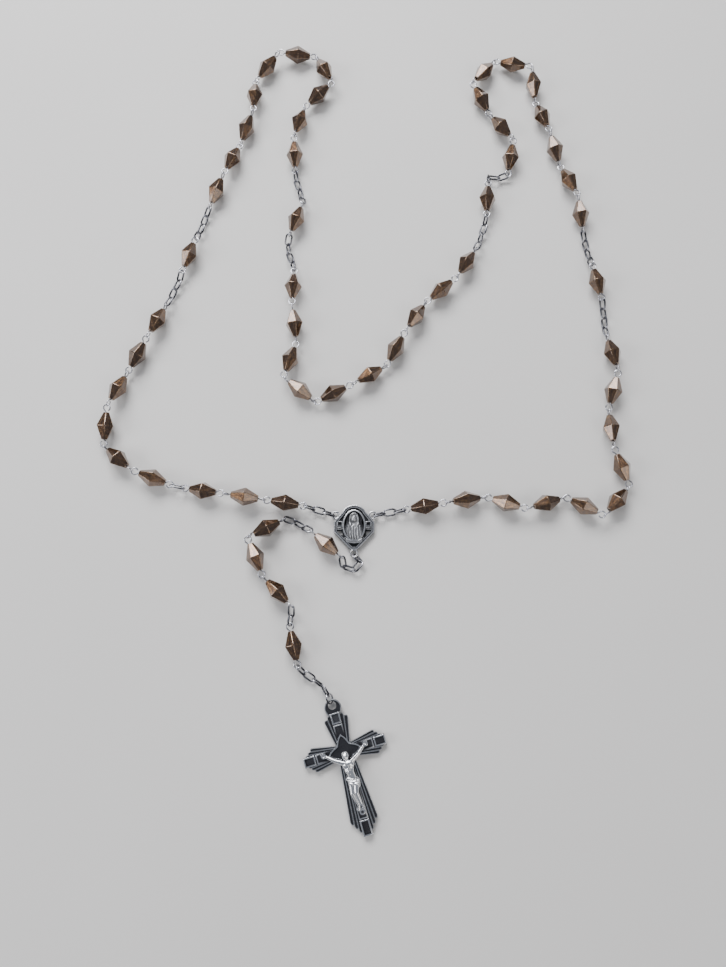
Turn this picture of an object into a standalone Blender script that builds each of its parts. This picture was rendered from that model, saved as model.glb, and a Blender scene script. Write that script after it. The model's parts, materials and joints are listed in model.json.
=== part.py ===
"""A five-decade rosary laid out on a flat surface.

Six-sided beads on wire pins are linked eye to eye into a closed loop. The loop starts and ends at the
side eyes of a centre medal. A pendant of chain, beads and a crucifix hangs from the medal's bottom eye.
Lengths are in metres. The origin is the middle of the medal's flat back, +Z is up from the surface
that the rosary lies on, and +Y points to the top of the medal.
"""

import math

import bmesh
import bpy
from mathutils import Matrix, Vector

MM = 0.001

# Beads, their wires and the eyes bent at the ends of each wire
BEAD_LENGTH = 8.7 * MM
BEAD_WIDTH = 5.9 * MM  # across two opposite corners of the waist
BEAD_TIP_WIDTH = 2.0 * MM
BEAD_SIDES = 6
WIRE = 0.45 * MM
EYE_WIDTH = 2.1 * MM  # between the middles of the wire
EYE_NECK = 0.35 * MM  # from the bead's end to the middle of the eye's nearest wire
EYE_STRAIGHT = math.radians(45)  # eyes that meet at more than this are bent towards each other
EYE_BEND = math.radians(18)  # but by no more than this

# Chain links, and the longer link where a bead of the fifth decade is missing
LINK_LENGTH = 4.1 * MM
LINK_WIDTH = 2.4 * MM
LINK_WIRE = 0.5 * MM
REPAIR_LENGTH = 5.2 * MM

# Fits
CLEARANCE = 0.3 * MM  # between two pieces that move on each other
HOLD = 0.25 * MM  # how far two wires of one rigid length sink into each other

# Heights over the surface
BEAD_SWING = 0.9 * MM  # a bead rests on its waist with one end this far down and one this far up
CHAIN_LIFT = 0.25 * MM

# Centre medal
MEDAL_WIDTH = 12.7 * MM
MEDAL_TOP = 7.2 * MM
MEDAL_BOTTOM = 6.9 * MM
MEDAL_PLATE = 1.0 * MM
MEDAL_RIM = 1.4 * MM
RIM_WIDTH = 0.85 * MM
OVAL_WIDTH = 7.2 * MM
OVAL_LENGTH = 10.0 * MM
OVAL_CENTRE = 0.6 * MM
OVAL_HEIGHT = 2.0 * MM
MEDAL_EYE_WIDTH = 2.2 * MM
MEDAL_EYE_WIRE = 0.6 * MM
MEDAL_EYE_HEIGHT = 1.0 * MM
SIDE_EYE_INSET = 0.5 * MM  # from the medal's side in to the middle of a side eye
SIDE_EYE = Vector((MEDAL_WIDTH / 2 - SIDE_EYE_INSET, 3.95 * MM))
BOTTOM_EYE_DROP = 1.15 * MM  # from the medal's foot down to the middle of the bottom eye
BOTTOM_EYE = MEDAL_BOTTOM + BOTTOM_EYE_DROP
ARCH_END = Vector((3.7, 4.9)) * MM  # where the arched top ends and the cut corner begins
STRAIGHT_TOP = 1.7 * MM  # the straight side runs between these two heights
STRAIGHT_BOTTOM = -1.3 * MM
FOOT_WIDTH = 2.0 * MM
WINDOW_TOP = 1.9 * MM
WINDOW_BOTTOM = -0.2 * MM
SLOT_TOP = -0.9 * MM
SLOT_OUTER_END = -2.0 * MM
SLOT_INNER_END = -2.6 * MM
SLOT_TAPER = 0.5 * MM
PIERCED_EDGE = 0.1 * MM  # what is left between a window and the rims beside it

# Crucifix, measured from where its arms cross
CROSS_TOP = 15.4 * MM
CROSS_BOTTOM = 24.3 * MM
CROSS_ARM = 12.5 * MM
BAR_WIDTH = 2.8 * MM
BAR_HEIGHT = 1.8 * MM
RAY_HEIGHT = 1.3 * MM
STAR_REACH = 5.0 * MM
STAR_HEIGHT = 2.1 * MM
STAR_WAIST = 0.44  # the star's hollow sides, as a share of its reach
LOWER_RAYS = (4.4 * MM, 8.2 * MM, 3, 1.3 * MM)  # width at the root and at the end, steps, step
SIDE_RAYS = (3.6 * MM, 6.9 * MM, 3, 0.9 * MM)
UPPER_RAYS = (3.8 * MM, 7.2 * MM, 2, 0.9 * MM)
CAP_WIDTH = 5.2 * MM
CAP_LENGTH = 4.4 * MM
CAP_BACK = 0.8 * MM  # the head is thinner than the bars, from both sides
CAP_FRONT = 1.6 * MM
CAP_HOLE = 2.5 * MM
CAP_EDGE = 0.6 * MM
CAP_NECK = 0.8  # the neck's width as a share of the head's
CAP_SHOULDER = 0.62  # from the head's top down to its widest place, as a share of its length
CAP_LAP = 0.4 * MM  # how far the upper bar runs under the head
RAY_LAP = 0.6 * MM  # and how far the upper rays do
CROSS_TURN = math.radians(16.6)

# Figure on the crucifix: widths across, along and through
HEAD = Vector((1.9, 2.2, 1.9)) * MM
CHEST = Vector((3.0, 4.2, 1.7)) * MM
CLOTH = Vector((2.9, 3.0, 1.6)) * MM
LEG_THICKNESS = 1.5 * MM
HAND_HEIGHT = 0.5 * MM

# Ring between the last chain and the crucifix
RING_WIDTH = 3.6 * MM
RING_WIRE = 0.5 * MM
RING_HEIGHT = 2.0 * MM

# Routes, in millimetres: bends of the loop from the medal's right eye round to its left one, and
# bends of the pendant from the medal's bottom eye down to the crucifix
LOOP_ROUTE = [
    (13, 5), (28.5, 7.5), (41.5, 9.5), (54, 5.5), (66, 9.5), (77.5, 3.5), (86.5, 13), (82, 25),
    (81.5, 38), (85, 51), (82.5, 63.5), (82, 73), (79, 88.5), (77, 100), (75.5, 113.5), (70.5, 125),
    (67, 138), (63, 150), (62, 163), (49.5, 166.5), (41, 157), (47, 145), (54.5, 134.5), (52.5, 122),
    (49.5, 121), (46.5, 121.8), (45.5, 119.3), (44.6, 106.6), (41, 95), (34.5, 84), (24, 75.5),
    (17, 65), (11, 53.5), (0, 46.5), (-11.5, 40.5), (-22.5, 47.5), (-19, 60), (-20.5, 73),
    (-20, 86), (-22.5, 96), (-17.5, 110), (-20, 120), (-21, 134.5), (-18.5, 147), (-8, 155.5),
    (-12.5, 167.5), (-25.5, 169.5), (-34.5, 160), (-35, 147), (-39, 135), (-49, 110.5),
    (-57, 86.5), (-67, 63), (-73, 51.5), (-78.5, 40), (-80, 27), (-70, 18), (-56, 13),
    (-28.5, 8.6), (-14, 6.2),
]
PENDANT_ROUTE = [
    (2.2, -10.6), (0.4, -13.2), (-2.9, -12.7), (-3.5, -10), (-8.3, -5.4), (-13.1, -1.4), (-16.8, 0.7),
    (-21.1, 2.6), (-32.3, -1.6), (-29, -13.6), (-20.7, -23.3), (-18.3, -25.2), (-19.3, -28),
    (-18.2, -40.7), (-15.9, -43), (-13.6, -45.2), (-10.2, -47), (-7.4, -51), (-5.4, -56),
]

SILVER = (0.42, 0.42, 0.43)
DARK_SILVER = (0.16, 0.16, 0.17)
BRONZE = (0.13, 0.075, 0.045)

LINK, REPAIR, BEAD, DRILLED, RING = "link", "repair link", "bead", "drilled bead", "ring"


# ---------------------------------------------------------------------------------------------
# Scene and mesh helpers
# ---------------------------------------------------------------------------------------------

for old in list(bpy.data.objects):
    bpy.data.objects.remove(old, do_unlink=True)

rosary = bpy.data.collections.new("rosary")
helpers = bpy.data.collections.new("helpers")
bpy.context.scene.collection.children.link(rosary)
bpy.context.scene.collection.children.link(helpers)


def principled(name, colour, roughness, metallic):
    material = bpy.data.materials.new(name)
    material.use_nodes = True
    shader = material.node_tree.nodes["Principled BSDF"]
    shader.inputs["Base Color"].default_value = (*colour, 1.0)
    shader.inputs["Roughness"].default_value = roughness
    shader.inputs["Metallic"].default_value = metallic
    return material


def helper(name, data, matrix=Matrix()):
    """A shape that only helps to make others: not rendered, and not a node."""
    shape = bpy.data.objects.new(name, data)
    shape.matrix_world = matrix
    shape.hide_render = True
    shape.display_type = "WIRE"
    helpers.objects.link(shape)
    return shape


def evaluated_mesh(shape):
    """The shape's own mesh after its modifiers, in its local space, with loose caps welded."""
    graph = bpy.context.evaluated_depsgraph_get()
    mesh = bpy.data.meshes.new_from_object(shape.evaluated_get(graph))
    work = bmesh.new()
    work.from_mesh(mesh)
    bmesh.ops.remove_doubles(work, verts=work.verts, dist=1e-7)
    bmesh.ops.recalc_face_normals(work, faces=work.faces)
    work.to_mesh(mesh)
    work.free()
    return mesh


def taken(shape):
    """The evaluated mesh, with the shape itself removed."""
    mesh = evaluated_mesh(shape)
    bpy.data.objects.remove(shape, do_unlink=True)
    return mesh


def turned(name, profile, sides):
    """A profile of (radius, height) points, from top to bottom, turned round Z."""
    mesh = bpy.data.meshes.new(name)
    work = bmesh.new()
    corners = [work.verts.new((radius, 0, height)) for radius, height in profile]
    for upper, lower in zip(corners, corners[1:]):
        work.edges.new((upper, lower))
    work.to_mesh(mesh)
    work.free()
    shape = helper(name, mesh)
    screw = shape.modifiers.new("turn", "SCREW")
    screw.steps = sides
    screw.render_steps = sides
    screw.use_merge_vertices = True
    screw.merge_threshold = 1e-6
    return taken(shape)


def wire_mesh(name, points, thickness, closed=False):
    """A wire of four sides bent through points in its own X-Y plane."""
    curve = bpy.data.curves.new(name, "CURVE")
    curve.dimensions = "3D"
    curve.bevel_depth = thickness / 2
    curve.bevel_resolution = 0
    curve.use_fill_caps = not closed
    spline = curve.splines.new("POLY")
    spline.points.add(len(points) - 1)
    for place, (x, y) in zip(spline.points, points):
        place.co = (x, y, 0, 1)
    spline.use_cyclic_u = closed
    return taken(helper(name, curve))


def plate_mesh(name, outlines, bottom, top):
    """A flat plate between two heights. The first outline is its edge, and the others are holes."""
    curve = bpy.data.curves.new(name, "CURVE")
    curve.dimensions = "2D"
    curve.fill_mode = "BOTH"
    curve.extrude = (top - bottom) / 2
    for outline in outlines:
        spline = curve.splines.new("POLY")
        spline.points.add(len(outline) - 1)
        for place, (x, y) in zip(spline.points, outline):
            place.co = (x, y, 0, 1)
        spline.use_cyclic_u = True
    mesh = taken(helper(name, curve))
    mesh.transform(Matrix.Translation((0, 0, (top + bottom) / 2)))
    return mesh


def ball_mesh(name, size, rings=6, segments=8):
    """A ball stretched to the three given widths."""
    mesh = bpy.data.meshes.new(name)
    work = bmesh.new()
    bmesh.ops.create_uvsphere(work, u_segments=segments, v_segments=rings, radius=0.5)
    bmesh.ops.scale(work, vec=size, verts=work.verts)
    work.to_mesh(mesh)
    work.free()
    return mesh


def limb_mesh(name, start, end, start_width, end_width, sides=7):
    """A tapered round limb from one point to another, with flat ends."""
    along = end - start
    mesh = bpy.data.meshes.new(name)
    work = bmesh.new()
    bmesh.ops.create_cone(work, cap_ends=True, segments=sides, radius1=start_width / 2,
                          radius2=end_width / 2, depth=along.length)
    turn = along.to_track_quat("Z", "Y").to_matrix().to_4x4()
    bmesh.ops.transform(work, matrix=Matrix.Translation((start + end) / 2) @ turn, verts=work.verts)
    work.to_mesh(mesh)
    work.free()
    return mesh


def fused(shapes):
    """One mesh in world space from (mesh, matrix) shapes that sink into each other."""
    first, *others = [helper("shape", mesh, matrix) for mesh, matrix in shapes]
    if others:
        group = bpy.data.collections.new("joined")
        for other in others:
            group.objects.link(other)
        join = first.modifiers.new("join", "BOOLEAN")
        join.operation = "UNION"
        join.operand_type = "COLLECTION"
        join.collection = group
    matrix = first.matrix_world.copy()
    mesh = evaluated_mesh(first)
    mesh.transform(matrix)
    if others:
        bpy.data.collections.remove(group)
    for shape in [first, *others]:
        bpy.data.objects.remove(shape, do_unlink=True)
    return mesh


def add_node(name, mesh, origin, material, smooth=False):
    """A part of the rosary from a mesh in world space, with its own origin on its joint."""
    mesh.transform(Matrix.Translation(-origin))
    mesh.name = name
    mesh.materials.clear()
    mesh.materials.append(material)
    if smooth:
        mesh.shade_smooth()
        mesh.set_sharp_from_angle(angle=math.radians(50))
    node = bpy.data.objects.new(name, mesh)
    node.location = origin
    rosary.objects.link(node)
    return node


# ---------------------------------------------------------------------------------------------
# How the strand is put together
# ---------------------------------------------------------------------------------------------


def decade(number, beads):
    """Beads linked two by two into rigid lengths, and a single one where the count is odd."""
    first, last = beads
    plan = []
    for bead in range(first, last + 1, 2):
        if bead < last:
            plan.append((f"decade_{number}_beads_{bead}_{bead + 1}", [BEAD, BEAD]))
        else:
            plan.append((f"decade_{number}_bead_{bead}", [BEAD]))
    return plan


def loop_plan():
    """(body, its pieces) in order from the medal's right eye round to its left eye."""
    plan = [("loop_chain_1", [LINK] * 3)]
    links_before = {2: 4, 3: 3, 4: 4, 5: 4}
    for number in range(1, 5):
        plan += decade(number, (1, 10))
        plan.append((f"loop_chain_{2 * number}", [LINK] * links_before[number + 1]))
        plan.append((f"our_father_pin_{number}", [DRILLED]))
        plan.append((f"loop_chain_{2 * number + 1}", [LINK] * 4))
    plan += decade(5, (1, 6))
    plan.append(("repair_link", [REPAIR]))
    plan += decade(5, (7, 9))
    plan.append(("loop_chain_10", [LINK] * 3))
    return plan


def pendant_plan():
    """(body, its pieces) in order from the medal's bottom eye down to the crucifix."""
    plan = [("pendant_chain_1", [LINK] * 4), ("pendant_pin_1", [DRILLED])]
    plan.append(("pendant_chain_2", [LINK] * 3))
    plan += [(f"pendant_bead_{number}", [BEAD]) for number in (1, 2, 3)]
    plan += [("pendant_chain_3", [LINK] * 2), ("pendant_pin_2", [DRILLED])]
    plan += [("pendant_chain_4", [LINK] * 4), ("crucifix_ring", [RING])]
    return plan


def half_length(kind, slack):
    """From a piece's middle to the point where its neighbour's wire crosses it."""
    if kind in (BEAD, DRILLED):
        return BEAD_LENGTH / 2 + EYE_NECK + EYE_WIDTH - WIRE / 2 - slack / 2
    if kind == RING:
        return RING_WIDTH / 2 - RING_WIRE - slack / 2
    length = REPAIR_LENGTH if kind == REPAIR else LINK_LENGTH
    return length / 2 - LINK_WIRE - slack / 2


def pieces_of(plan):
    """Each piece of a plan with the distances from its middle to its two crossings."""
    pieces = []
    for body, kinds in plan:
        for place, kind in enumerate(kinds):
            before = CLEARANCE if place == 0 else -HOLD
            after = CLEARANCE if place == len(kinds) - 1 else -HOLD
            pieces.append((body, kind, half_length(kind, before), half_length(kind, after)))
    return pieces


def crossing_heights(pieces, first, last):
    """Heights of the crossings: beads rock end up, end down on their waists, and chains lie low."""
    waist = BEAD_WIDTH / 2
    low = LINK_WIDTH / 2 + CHAIN_LIFT
    heights = [low] * (len(pieces) + 1)
    start = 0
    while start < len(pieces):
        stop = start
        while stop < len(pieces) and pieces[stop][1] in (BEAD, DRILLED):
            stop += 1
        count = stop - start
        for step in range(count + 1 if count else 0):
            swing = BEAD_SWING if step % 2 else -BEAD_SWING
            level = count % 2 and step >= count - 1
            heights[start + step] = waist if level else waist + swing
        start = max(stop, start + 1)
    heights[0], heights[-1] = first, last
    return heights


# ---------------------------------------------------------------------------------------------
# Laying the strand along its route
# ---------------------------------------------------------------------------------------------


def smooth_path(points, steps=14):
    """Points close together on a smooth curve through the given ones."""
    ends = [2 * points[0] - points[1], 2 * points[-1] - points[-2]]
    around = [ends[0], *points, ends[1]]
    path = [points[0]]
    for p0, p1, p2, p3 in zip(around, around[1:], around[2:], around[3:]):
        knots = [0.0]
        for near, far in ((p0, p1), (p1, p2), (p2, p3)):
            knots.append(knots[-1] + math.sqrt((far - near).length))
        t0, t1, t2, t3 = knots
        for step in range(1, steps + 1):
            t = t1 + (t2 - t1) * step / steps
            a1 = p0.lerp(p1, (t - t0) / (t1 - t0))
            a2 = p1.lerp(p2, (t - t1) / (t2 - t1))
            a3 = p2.lerp(p3, (t - t2) / (t3 - t2))
            b1 = a1.lerp(a2, (t - t0) / (t2 - t0))
            b2 = a2.lerp(a3, (t - t1) / (t3 - t1))
            path.append(b1.lerp(b2, (t - t1) / (t2 - t1)))
    return path


def walk(path, spans):
    """Crossings at exact spans along a path, and how far past the path's end the last one is."""
    run_out = path + [path[-1] + (path[-1] - path[-2]).normalized() * 0.5]
    crossings = [path[0]]
    index = 1
    for span in spans:
        here = crossings[-1]
        while index < len(run_out) - 1 and (run_out[index] - here).length < span:
            index += 1
        near, far = run_out[index - 1], run_out[index]
        if (near - here).length > span or index == 1:
            near = here
        low, high = 0.0, 1.0
        for _ in range(50):
            middle = (low + high) / 2
            if (near.lerp(far, middle) - here).length < span:
                low = middle
            else:
                high = middle
        crossings.append(near.lerp(far, low))
    left_over = sum((b - a).length for a, b in zip(run_out[index:-1], run_out[index + 1:-1]))
    end = crossings[-1]
    if index < len(run_out) - 1:
        return crossings, -left_over - (run_out[index] - end).length
    return crossings, (end - path[-1]).length


def level_spans(pieces, heights):
    """What each piece covers as seen from above."""
    spans = []
    for (_, _, before, after), low, high in zip(pieces, heights, heights[1:]):
        spans.append(math.sqrt((before + after) ** 2 - (high - low) ** 2))
    return spans


def route_path(start, route, end, scale):
    middle = [Vector(point) * MM * scale for point in route]
    return smooth_path([start, *middle, *([end] if end else [])])


def close_loop(start, end, spans):
    """The crossings of the loop, and the scale of its route at which it closes on the last eye."""
    low, high = 0.6, 1.6
    for _ in range(45):
        scale = (low + high) / 2
        crossings, past_end = walk(route_path(start, LOOP_ROUTE, end, scale), spans)
        if past_end > 0:
            low = scale
        else:
            high = scale
    return crossings, scale


def raised(crossings, heights):
    return [Vector((point.x, point.y, height)) for point, height in zip(crossings, heights)]


def frame_between(start, end, roll, offset):
    """A frame at `offset` along start-end: X along the strand, Z up, then rolled about X."""
    along = (end - start).normalized()
    side = Vector((0, 0, 1)).cross(along).normalized()
    turn = Matrix((along, side, along.cross(side))).transposed().to_4x4()
    return Matrix.Translation(start + along * offset) @ turn @ Matrix.Rotation(roll, 4, "X")


# ---------------------------------------------------------------------------------------------
# Shapes of the pieces, each lying along X
# ---------------------------------------------------------------------------------------------


def bead_mesh(drilled):
    """Two six-sided tapers base to base, cut flat at the ends."""
    half, waist, tip = BEAD_LENGTH / 2, BEAD_WIDTH / 2, BEAD_TIP_WIDTH / 2
    inner = (WIRE / 2 + CLEARANCE) / math.cos(math.pi / BEAD_SIDES) if drilled else 0
    profile = [(inner, half), (tip, half), (waist, 0), (tip, -half), (inner, -half)]
    if drilled:
        profile.append(profile[0])
    mesh = turned("bead", profile, BEAD_SIDES)
    mesh.transform(Matrix.Rotation(math.pi / 2, 4, "Y"))
    return mesh


def eye_points():
    """The bent end of a bead's wire, from inside the bead out and round, measured from its end."""
    radius = EYE_WIDTH / 2
    corner = radius / math.cos(math.pi / 6)
    middle = EYE_NECK + radius
    bends = [(-EYE_NECK, 0), (EYE_NECK / 3, 0)]
    for degrees in (150, 90, 30, -30, -90):
        angle = math.radians(degrees)
        bends.append((middle + corner * math.cos(angle), corner * math.sin(angle)))
    bends.append((EYE_NECK + WIRE / 4, -corner * 0.56))
    return bends


def pin_mesh():
    """One wire through a drilled bead, with an eye bent at each end."""
    half = BEAD_LENGTH / 2
    outer = [(half + x, y) for x, y in eye_points()[1:]]
    return wire_mesh("pin", [(-x, -y) for x, y in reversed(outer)] + outer, WIRE)


def link_mesh(length):
    """An oval chain link."""
    half, side = (length - LINK_WIRE) / 2, (LINK_WIDTH - LINK_WIRE) / 2
    end_side = side * 0.74
    outline = [(half, end_side), (0, side), (-half, end_side)]
    outline += [(-x, -y) for x, y in outline]
    return wire_mesh("link", outline, LINK_WIRE, closed=True)


def ring_mesh(width, thickness, sides=8):
    """A round ring of square wire, whose inner flats are as far apart as the real ring's."""
    corner = (width - thickness) / 2 / math.cos(math.pi / sides)
    angles = [math.tau * (step + 0.5) / sides for step in range(sides)]
    points = [(corner * math.cos(angle), corner * math.sin(angle)) for angle in angles]
    return wire_mesh("ring", points, thickness, closed=True)


def medal_outline(inset):
    """Arched top, cut corners at the side eyes, straight sides and a pointed bottom."""
    side = MEDAL_WIDTH / 2 - inset
    arch_end = ARCH_END * (1 - inset / MEDAL_TOP)
    top = MEDAL_TOP - inset
    rise = top - arch_end.y
    radius = (arch_end.x ** 2 + rise ** 2) / (2 * rise)
    sweep = math.asin(arch_end.x / radius)
    outline = []
    for step in range(-4, 5):
        angle = sweep * step / 4
        outline.append((radius * math.sin(angle), top - radius + radius * math.cos(angle)))
    right = [(side, STRAIGHT_TOP - inset / 2), (side, STRAIGHT_BOTTOM),
             (FOOT_WIDTH / 2, inset - MEDAL_BOTTOM)]
    return outline + right + [(-x, y) for x, y in reversed(right)]


def medal_shapes():
    oval = [(math.sin(math.tau * step / 20) * OVAL_WIDTH / 2,
             OVAL_CENTRE + math.cos(math.tau * step / 20) * OVAL_LENGTH / 2) for step in range(20)]
    side = MEDAL_WIDTH / 2 - RIM_WIDTH
    near, far = OVAL_WIDTH / 2 + PIERCED_EDGE, side - PIERCED_EDGE
    windows = []
    for sign in (-1, 1):
        windows.append([(sign * near, WINDOW_TOP), (sign * far, WINDOW_TOP),
                        (sign * far, WINDOW_BOTTOM), (sign * near, WINDOW_BOTTOM)])
        windows.append([(sign * near, SLOT_TOP), (sign * far, SLOT_TOP),
                        (sign * (far - SLOT_TAPER), SLOT_OUTER_END),
                        (sign * (near - 2 * PIERCED_EDGE), SLOT_INNER_END)])
    shapes = [
        plate_mesh("plate", [medal_outline(0.02 * MM), *windows], 0, MEDAL_PLATE),
        plate_mesh("rim", [medal_outline(0), medal_outline(RIM_WIDTH)], 0.05 * MM, MEDAL_RIM),
        plate_mesh("oval", [oval], 0.1 * MM, OVAL_HEIGHT),
    ]
    placed = [(shape, Matrix()) for shape in shapes]
    eye = ring_mesh(MEDAL_EYE_WIDTH + MEDAL_EYE_WIRE, MEDAL_EYE_WIRE)
    for x, y in ((SIDE_EYE.x, SIDE_EYE.y), (-SIDE_EYE.x, SIDE_EYE.y), (0, -BOTTOM_EYE)):
        placed.append((eye, Matrix.Translation((x, y, MEDAL_EYE_HEIGHT))))
    return placed


def fan_outline(reach, root, spread, steps, drop):
    """One arm of rays, along +Y: it widens from the crossing and ends in steps."""
    right = [(root / 2, 0)]
    for step in range(steps):
        far = reach - (steps - step) * drop
        across = spread / 2 * (1 - step / (steps + 1.2))
        right += [(across, far - drop * 0.6), (across - spread * 0.03, far)]
    right.append((BAR_WIDTH / 2, reach - drop * 0.8))
    return right + [(-x, y) for x, y in reversed(right)]


def arm_frame(turns):
    return Matrix.Rotation(turns * math.pi / 2, 4, "Z")


def cap_outline():
    """The rounded head of the crucifix."""
    neck = CROSS_TOP - CAP_LENGTH
    side = CAP_WIDTH / 2
    shoulder = CROSS_TOP - CAP_LENGTH * CAP_SHOULDER
    outline = [(side * CAP_NECK, neck), (side, shoulder)]
    for degrees in (30, 60):
        angle = math.radians(degrees)
        outline.append((side * math.cos(angle), shoulder + (CROSS_TOP - shoulder) * math.sin(angle)))
    return outline + [(0, CROSS_TOP)] + [(-x, y) for x, y in reversed(outline)]


def cross_shapes():
    """Four fans of rays, two raised bars, a four-pointed star and the head with its hole."""
    down = fan_outline(CROSS_BOTTOM, *LOWER_RAYS)
    side = fan_outline(CROSS_ARM, *SIDE_RAYS)
    up = fan_outline(CROSS_TOP - CAP_LENGTH + RAY_LAP, *UPPER_RAYS)
    half = BAR_WIDTH / 2
    star = []
    for step in range(8):
        angle = math.pi / 4 * step
        reach = STAR_REACH * (STAR_WAIST if step % 2 else 1)
        star.append((reach * math.sin(angle), reach * math.cos(angle)))
    hole_centre = CROSS_TOP - CAP_EDGE - CAP_HOLE / 2
    hole = [(CAP_HOLE / 2 * math.cos(math.tau * (step + 0.5) / 8) / math.cos(math.pi / 8),
             hole_centre + CAP_HOLE / 2 * math.sin(math.tau * (step + 0.5) / 8) / math.cos(math.pi / 8))
            for step in range(8)]
    upright = [(half, CROSS_TOP - CAP_LENGTH + CAP_LAP), (half, -CROSS_BOTTOM)]
    beam = [(CROSS_ARM, half), (CROSS_ARM, -half)]
    return [
        (plate_mesh("upright", [upright + [(-x, y) for x, y in reversed(upright)]], 0, BAR_HEIGHT),
         Matrix()),
        (plate_mesh("beam", [beam + [(-x, y) for x, y in reversed(beam)]], 0, BAR_HEIGHT), Matrix()),
        (plate_mesh("lower_rays", [down], 0, RAY_HEIGHT), arm_frame(2)),
        (plate_mesh("left_rays", [side], 0, RAY_HEIGHT), arm_frame(1)),
        (plate_mesh("right_rays", [side], 0, RAY_HEIGHT), arm_frame(3)),
        (plate_mesh("upper_rays", [up], 0, RAY_HEIGHT), Matrix()),
        (plate_mesh("star", [star], 0, STAR_HEIGHT), Matrix()),
        (plate_mesh("cap", [cap_outline(), hole], CAP_BACK, CAP_FRONT), Matrix()),
    ]


def figure_shapes():
    """A plain small figure with raised arms, lying on the bars of the cross."""
    chest_height = STAR_HEIGHT + CLEARANCE + CHEST.z / 2
    leg_height = BAR_HEIGHT + CLEARANCE + LEG_THICKNESS / 2

    def point(x, y, height):
        return Vector((x * MM, y * MM, height))

    shapes = [ball_mesh("head", HEAD), ball_mesh("chest", CHEST), ball_mesh("cloth", CLOTH)]
    middles = [point(-0.25, -1.25, chest_height + 0.25 * MM), point(0, -4.3, chest_height),
               point(0.1, -8.4, leg_height + 0.05 * MM)]
    placed = [(shape, Matrix.Translation(middle)) for shape, middle in zip(shapes, middles)]
    limbs = [
        (point(-0.1, -1.8, chest_height), point(0, -3.2, chest_height), 0.9, 1.0),
        (point(0, -5.2, chest_height - 0.05 * MM), point(0.1, -8.2, leg_height), 2.1, 1.9),
    ]
    for sign in (-1, 1):
        hand = point(sign * 6.2, 0.5, BAR_HEIGHT + CLEARANCE + HAND_HEIGHT)
        limbs.append((point(sign * 1.0, -3.1, chest_height - 0.1 * MM), hand, 1.15, 0.85))
        knee = point(sign * 0.5 - 0.2, -11.6, leg_height + 0.25 * MM)
        limbs.append((point(sign * 0.6 + 0.1, -8.8, leg_height), knee, 1.4, 1.15))
        limbs.append((knee, point(sign * 0.35 + 0.1, -14.6, leg_height - 0.1 * MM), 1.16, 0.8))
        limbs.append((point(sign * 0.3 + 0.1, -14.3, leg_height - 0.1 * MM),
                      point(sign * 0.75 + 0.1, -15.7, leg_height - 0.15 * MM), 0.85, 0.8))
    for start, end, start_width, end_width in limbs:
        placed.append((limb_mesh("limb", start, end, start_width * MM, end_width * MM), Matrix()))
    return placed


# ---------------------------------------------------------------------------------------------
# Building the rosary
# ---------------------------------------------------------------------------------------------


def leaned(own, other):
    """The way a bead's eye points: towards its neighbour where the two meet at a sharp angle."""
    angle = own.angle(other)
    lean = min(max(angle - EYE_STRAIGHT, 0) / 2, EYE_BEND)
    return own.slerp(other, lean / angle) if lean else own


def piece_shapes(piece, crossings, place, roll, facet):
    """The shapes of one piece between its two crossings."""
    _, kind, before, after = piece
    start, end = crossings[place], crossings[place + 1]
    frame = frame_between(start, end, roll, before)
    if kind in (LINK, REPAIR):
        return [(links[kind], frame)]
    if kind == RING:
        return [(ring_mesh(RING_WIDTH, RING_WIRE), frame)]
    if kind == DRILLED:
        return [(pin, frame)]
    around = crossings[max(place - 1, 0):place + 3]
    ways = [(far - near).normalized() for near, far in zip(around, around[1:])]
    own = (end - start).normalized()
    reach = BEAD_LENGTH / 2
    eye_in = frame_between(start + leaned(own, ways[0]) * before, start, roll, reach)
    eye_out = frame_between(end - leaned(own, ways[-1]) * after, end, roll, reach)
    return [(solid_bead, frame_between(start, end, facet, before)), (eye, eye_in), (eye, eye_out)]


def facet_roll(count):
    """Each bead lies turned a little differently round its wire."""
    return math.tau / BEAD_SIDES * ((count * 0.38) % 1.0)


def build_strand(plan, pieces, crossings, rolls):
    """One node for each body of the plan, and a separate drilled bead on each pin."""
    place = 0
    for body, kinds in plan:
        origin = crossings[place]
        shapes = []
        for kind in kinds:
            facet = facet_roll(place)
            shapes += piece_shapes(pieces[place], crossings, place, rolls[place], facet)
            if kind == DRILLED:
                before = pieces[place][2]
                matrix = frame_between(crossings[place], crossings[place + 1], facet, before)
                mesh = drilled_bead.copy()
                mesh.transform(matrix)
                name = body.replace("pin", "bead" if "father" in body else "our_father_bead")
                add_node(name, mesh, matrix.translation, principled(name, BRONZE, 0.25, 0.3))
            place += 1
        colour, metallic = (BRONZE, 0.3) if BEAD in kinds else (SILVER, 1.0)
        add_node(body, fused(shapes), origin, principled(body, colour, 0.3, metallic))


def alternate_rolls(count):
    """Neighbouring eyes and links stand at right angles, starting upright at the flat medal eye."""
    return [math.pi / 2 if place % 2 == 0 else 0.0 for place in range(count)]


eye_reach = MEDAL_EYE_WIDTH / 2 - MEDAL_EYE_WIRE / 2 - CLEARANCE / 2
right_eye = Vector((SIDE_EYE.x + eye_reach, SIDE_EYE.y))
left_eye = Vector((-SIDE_EYE.x - eye_reach, SIDE_EYE.y))
bottom_eye = Vector((0, -BOTTOM_EYE - eye_reach))

solid_bead, drilled_bead = bead_mesh(False), bead_mesh(True)
eye = wire_mesh("eye", eye_points(), WIRE)
pin = pin_mesh()
links = {LINK: link_mesh(LINK_LENGTH), REPAIR: link_mesh(REPAIR_LENGTH)}

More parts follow.
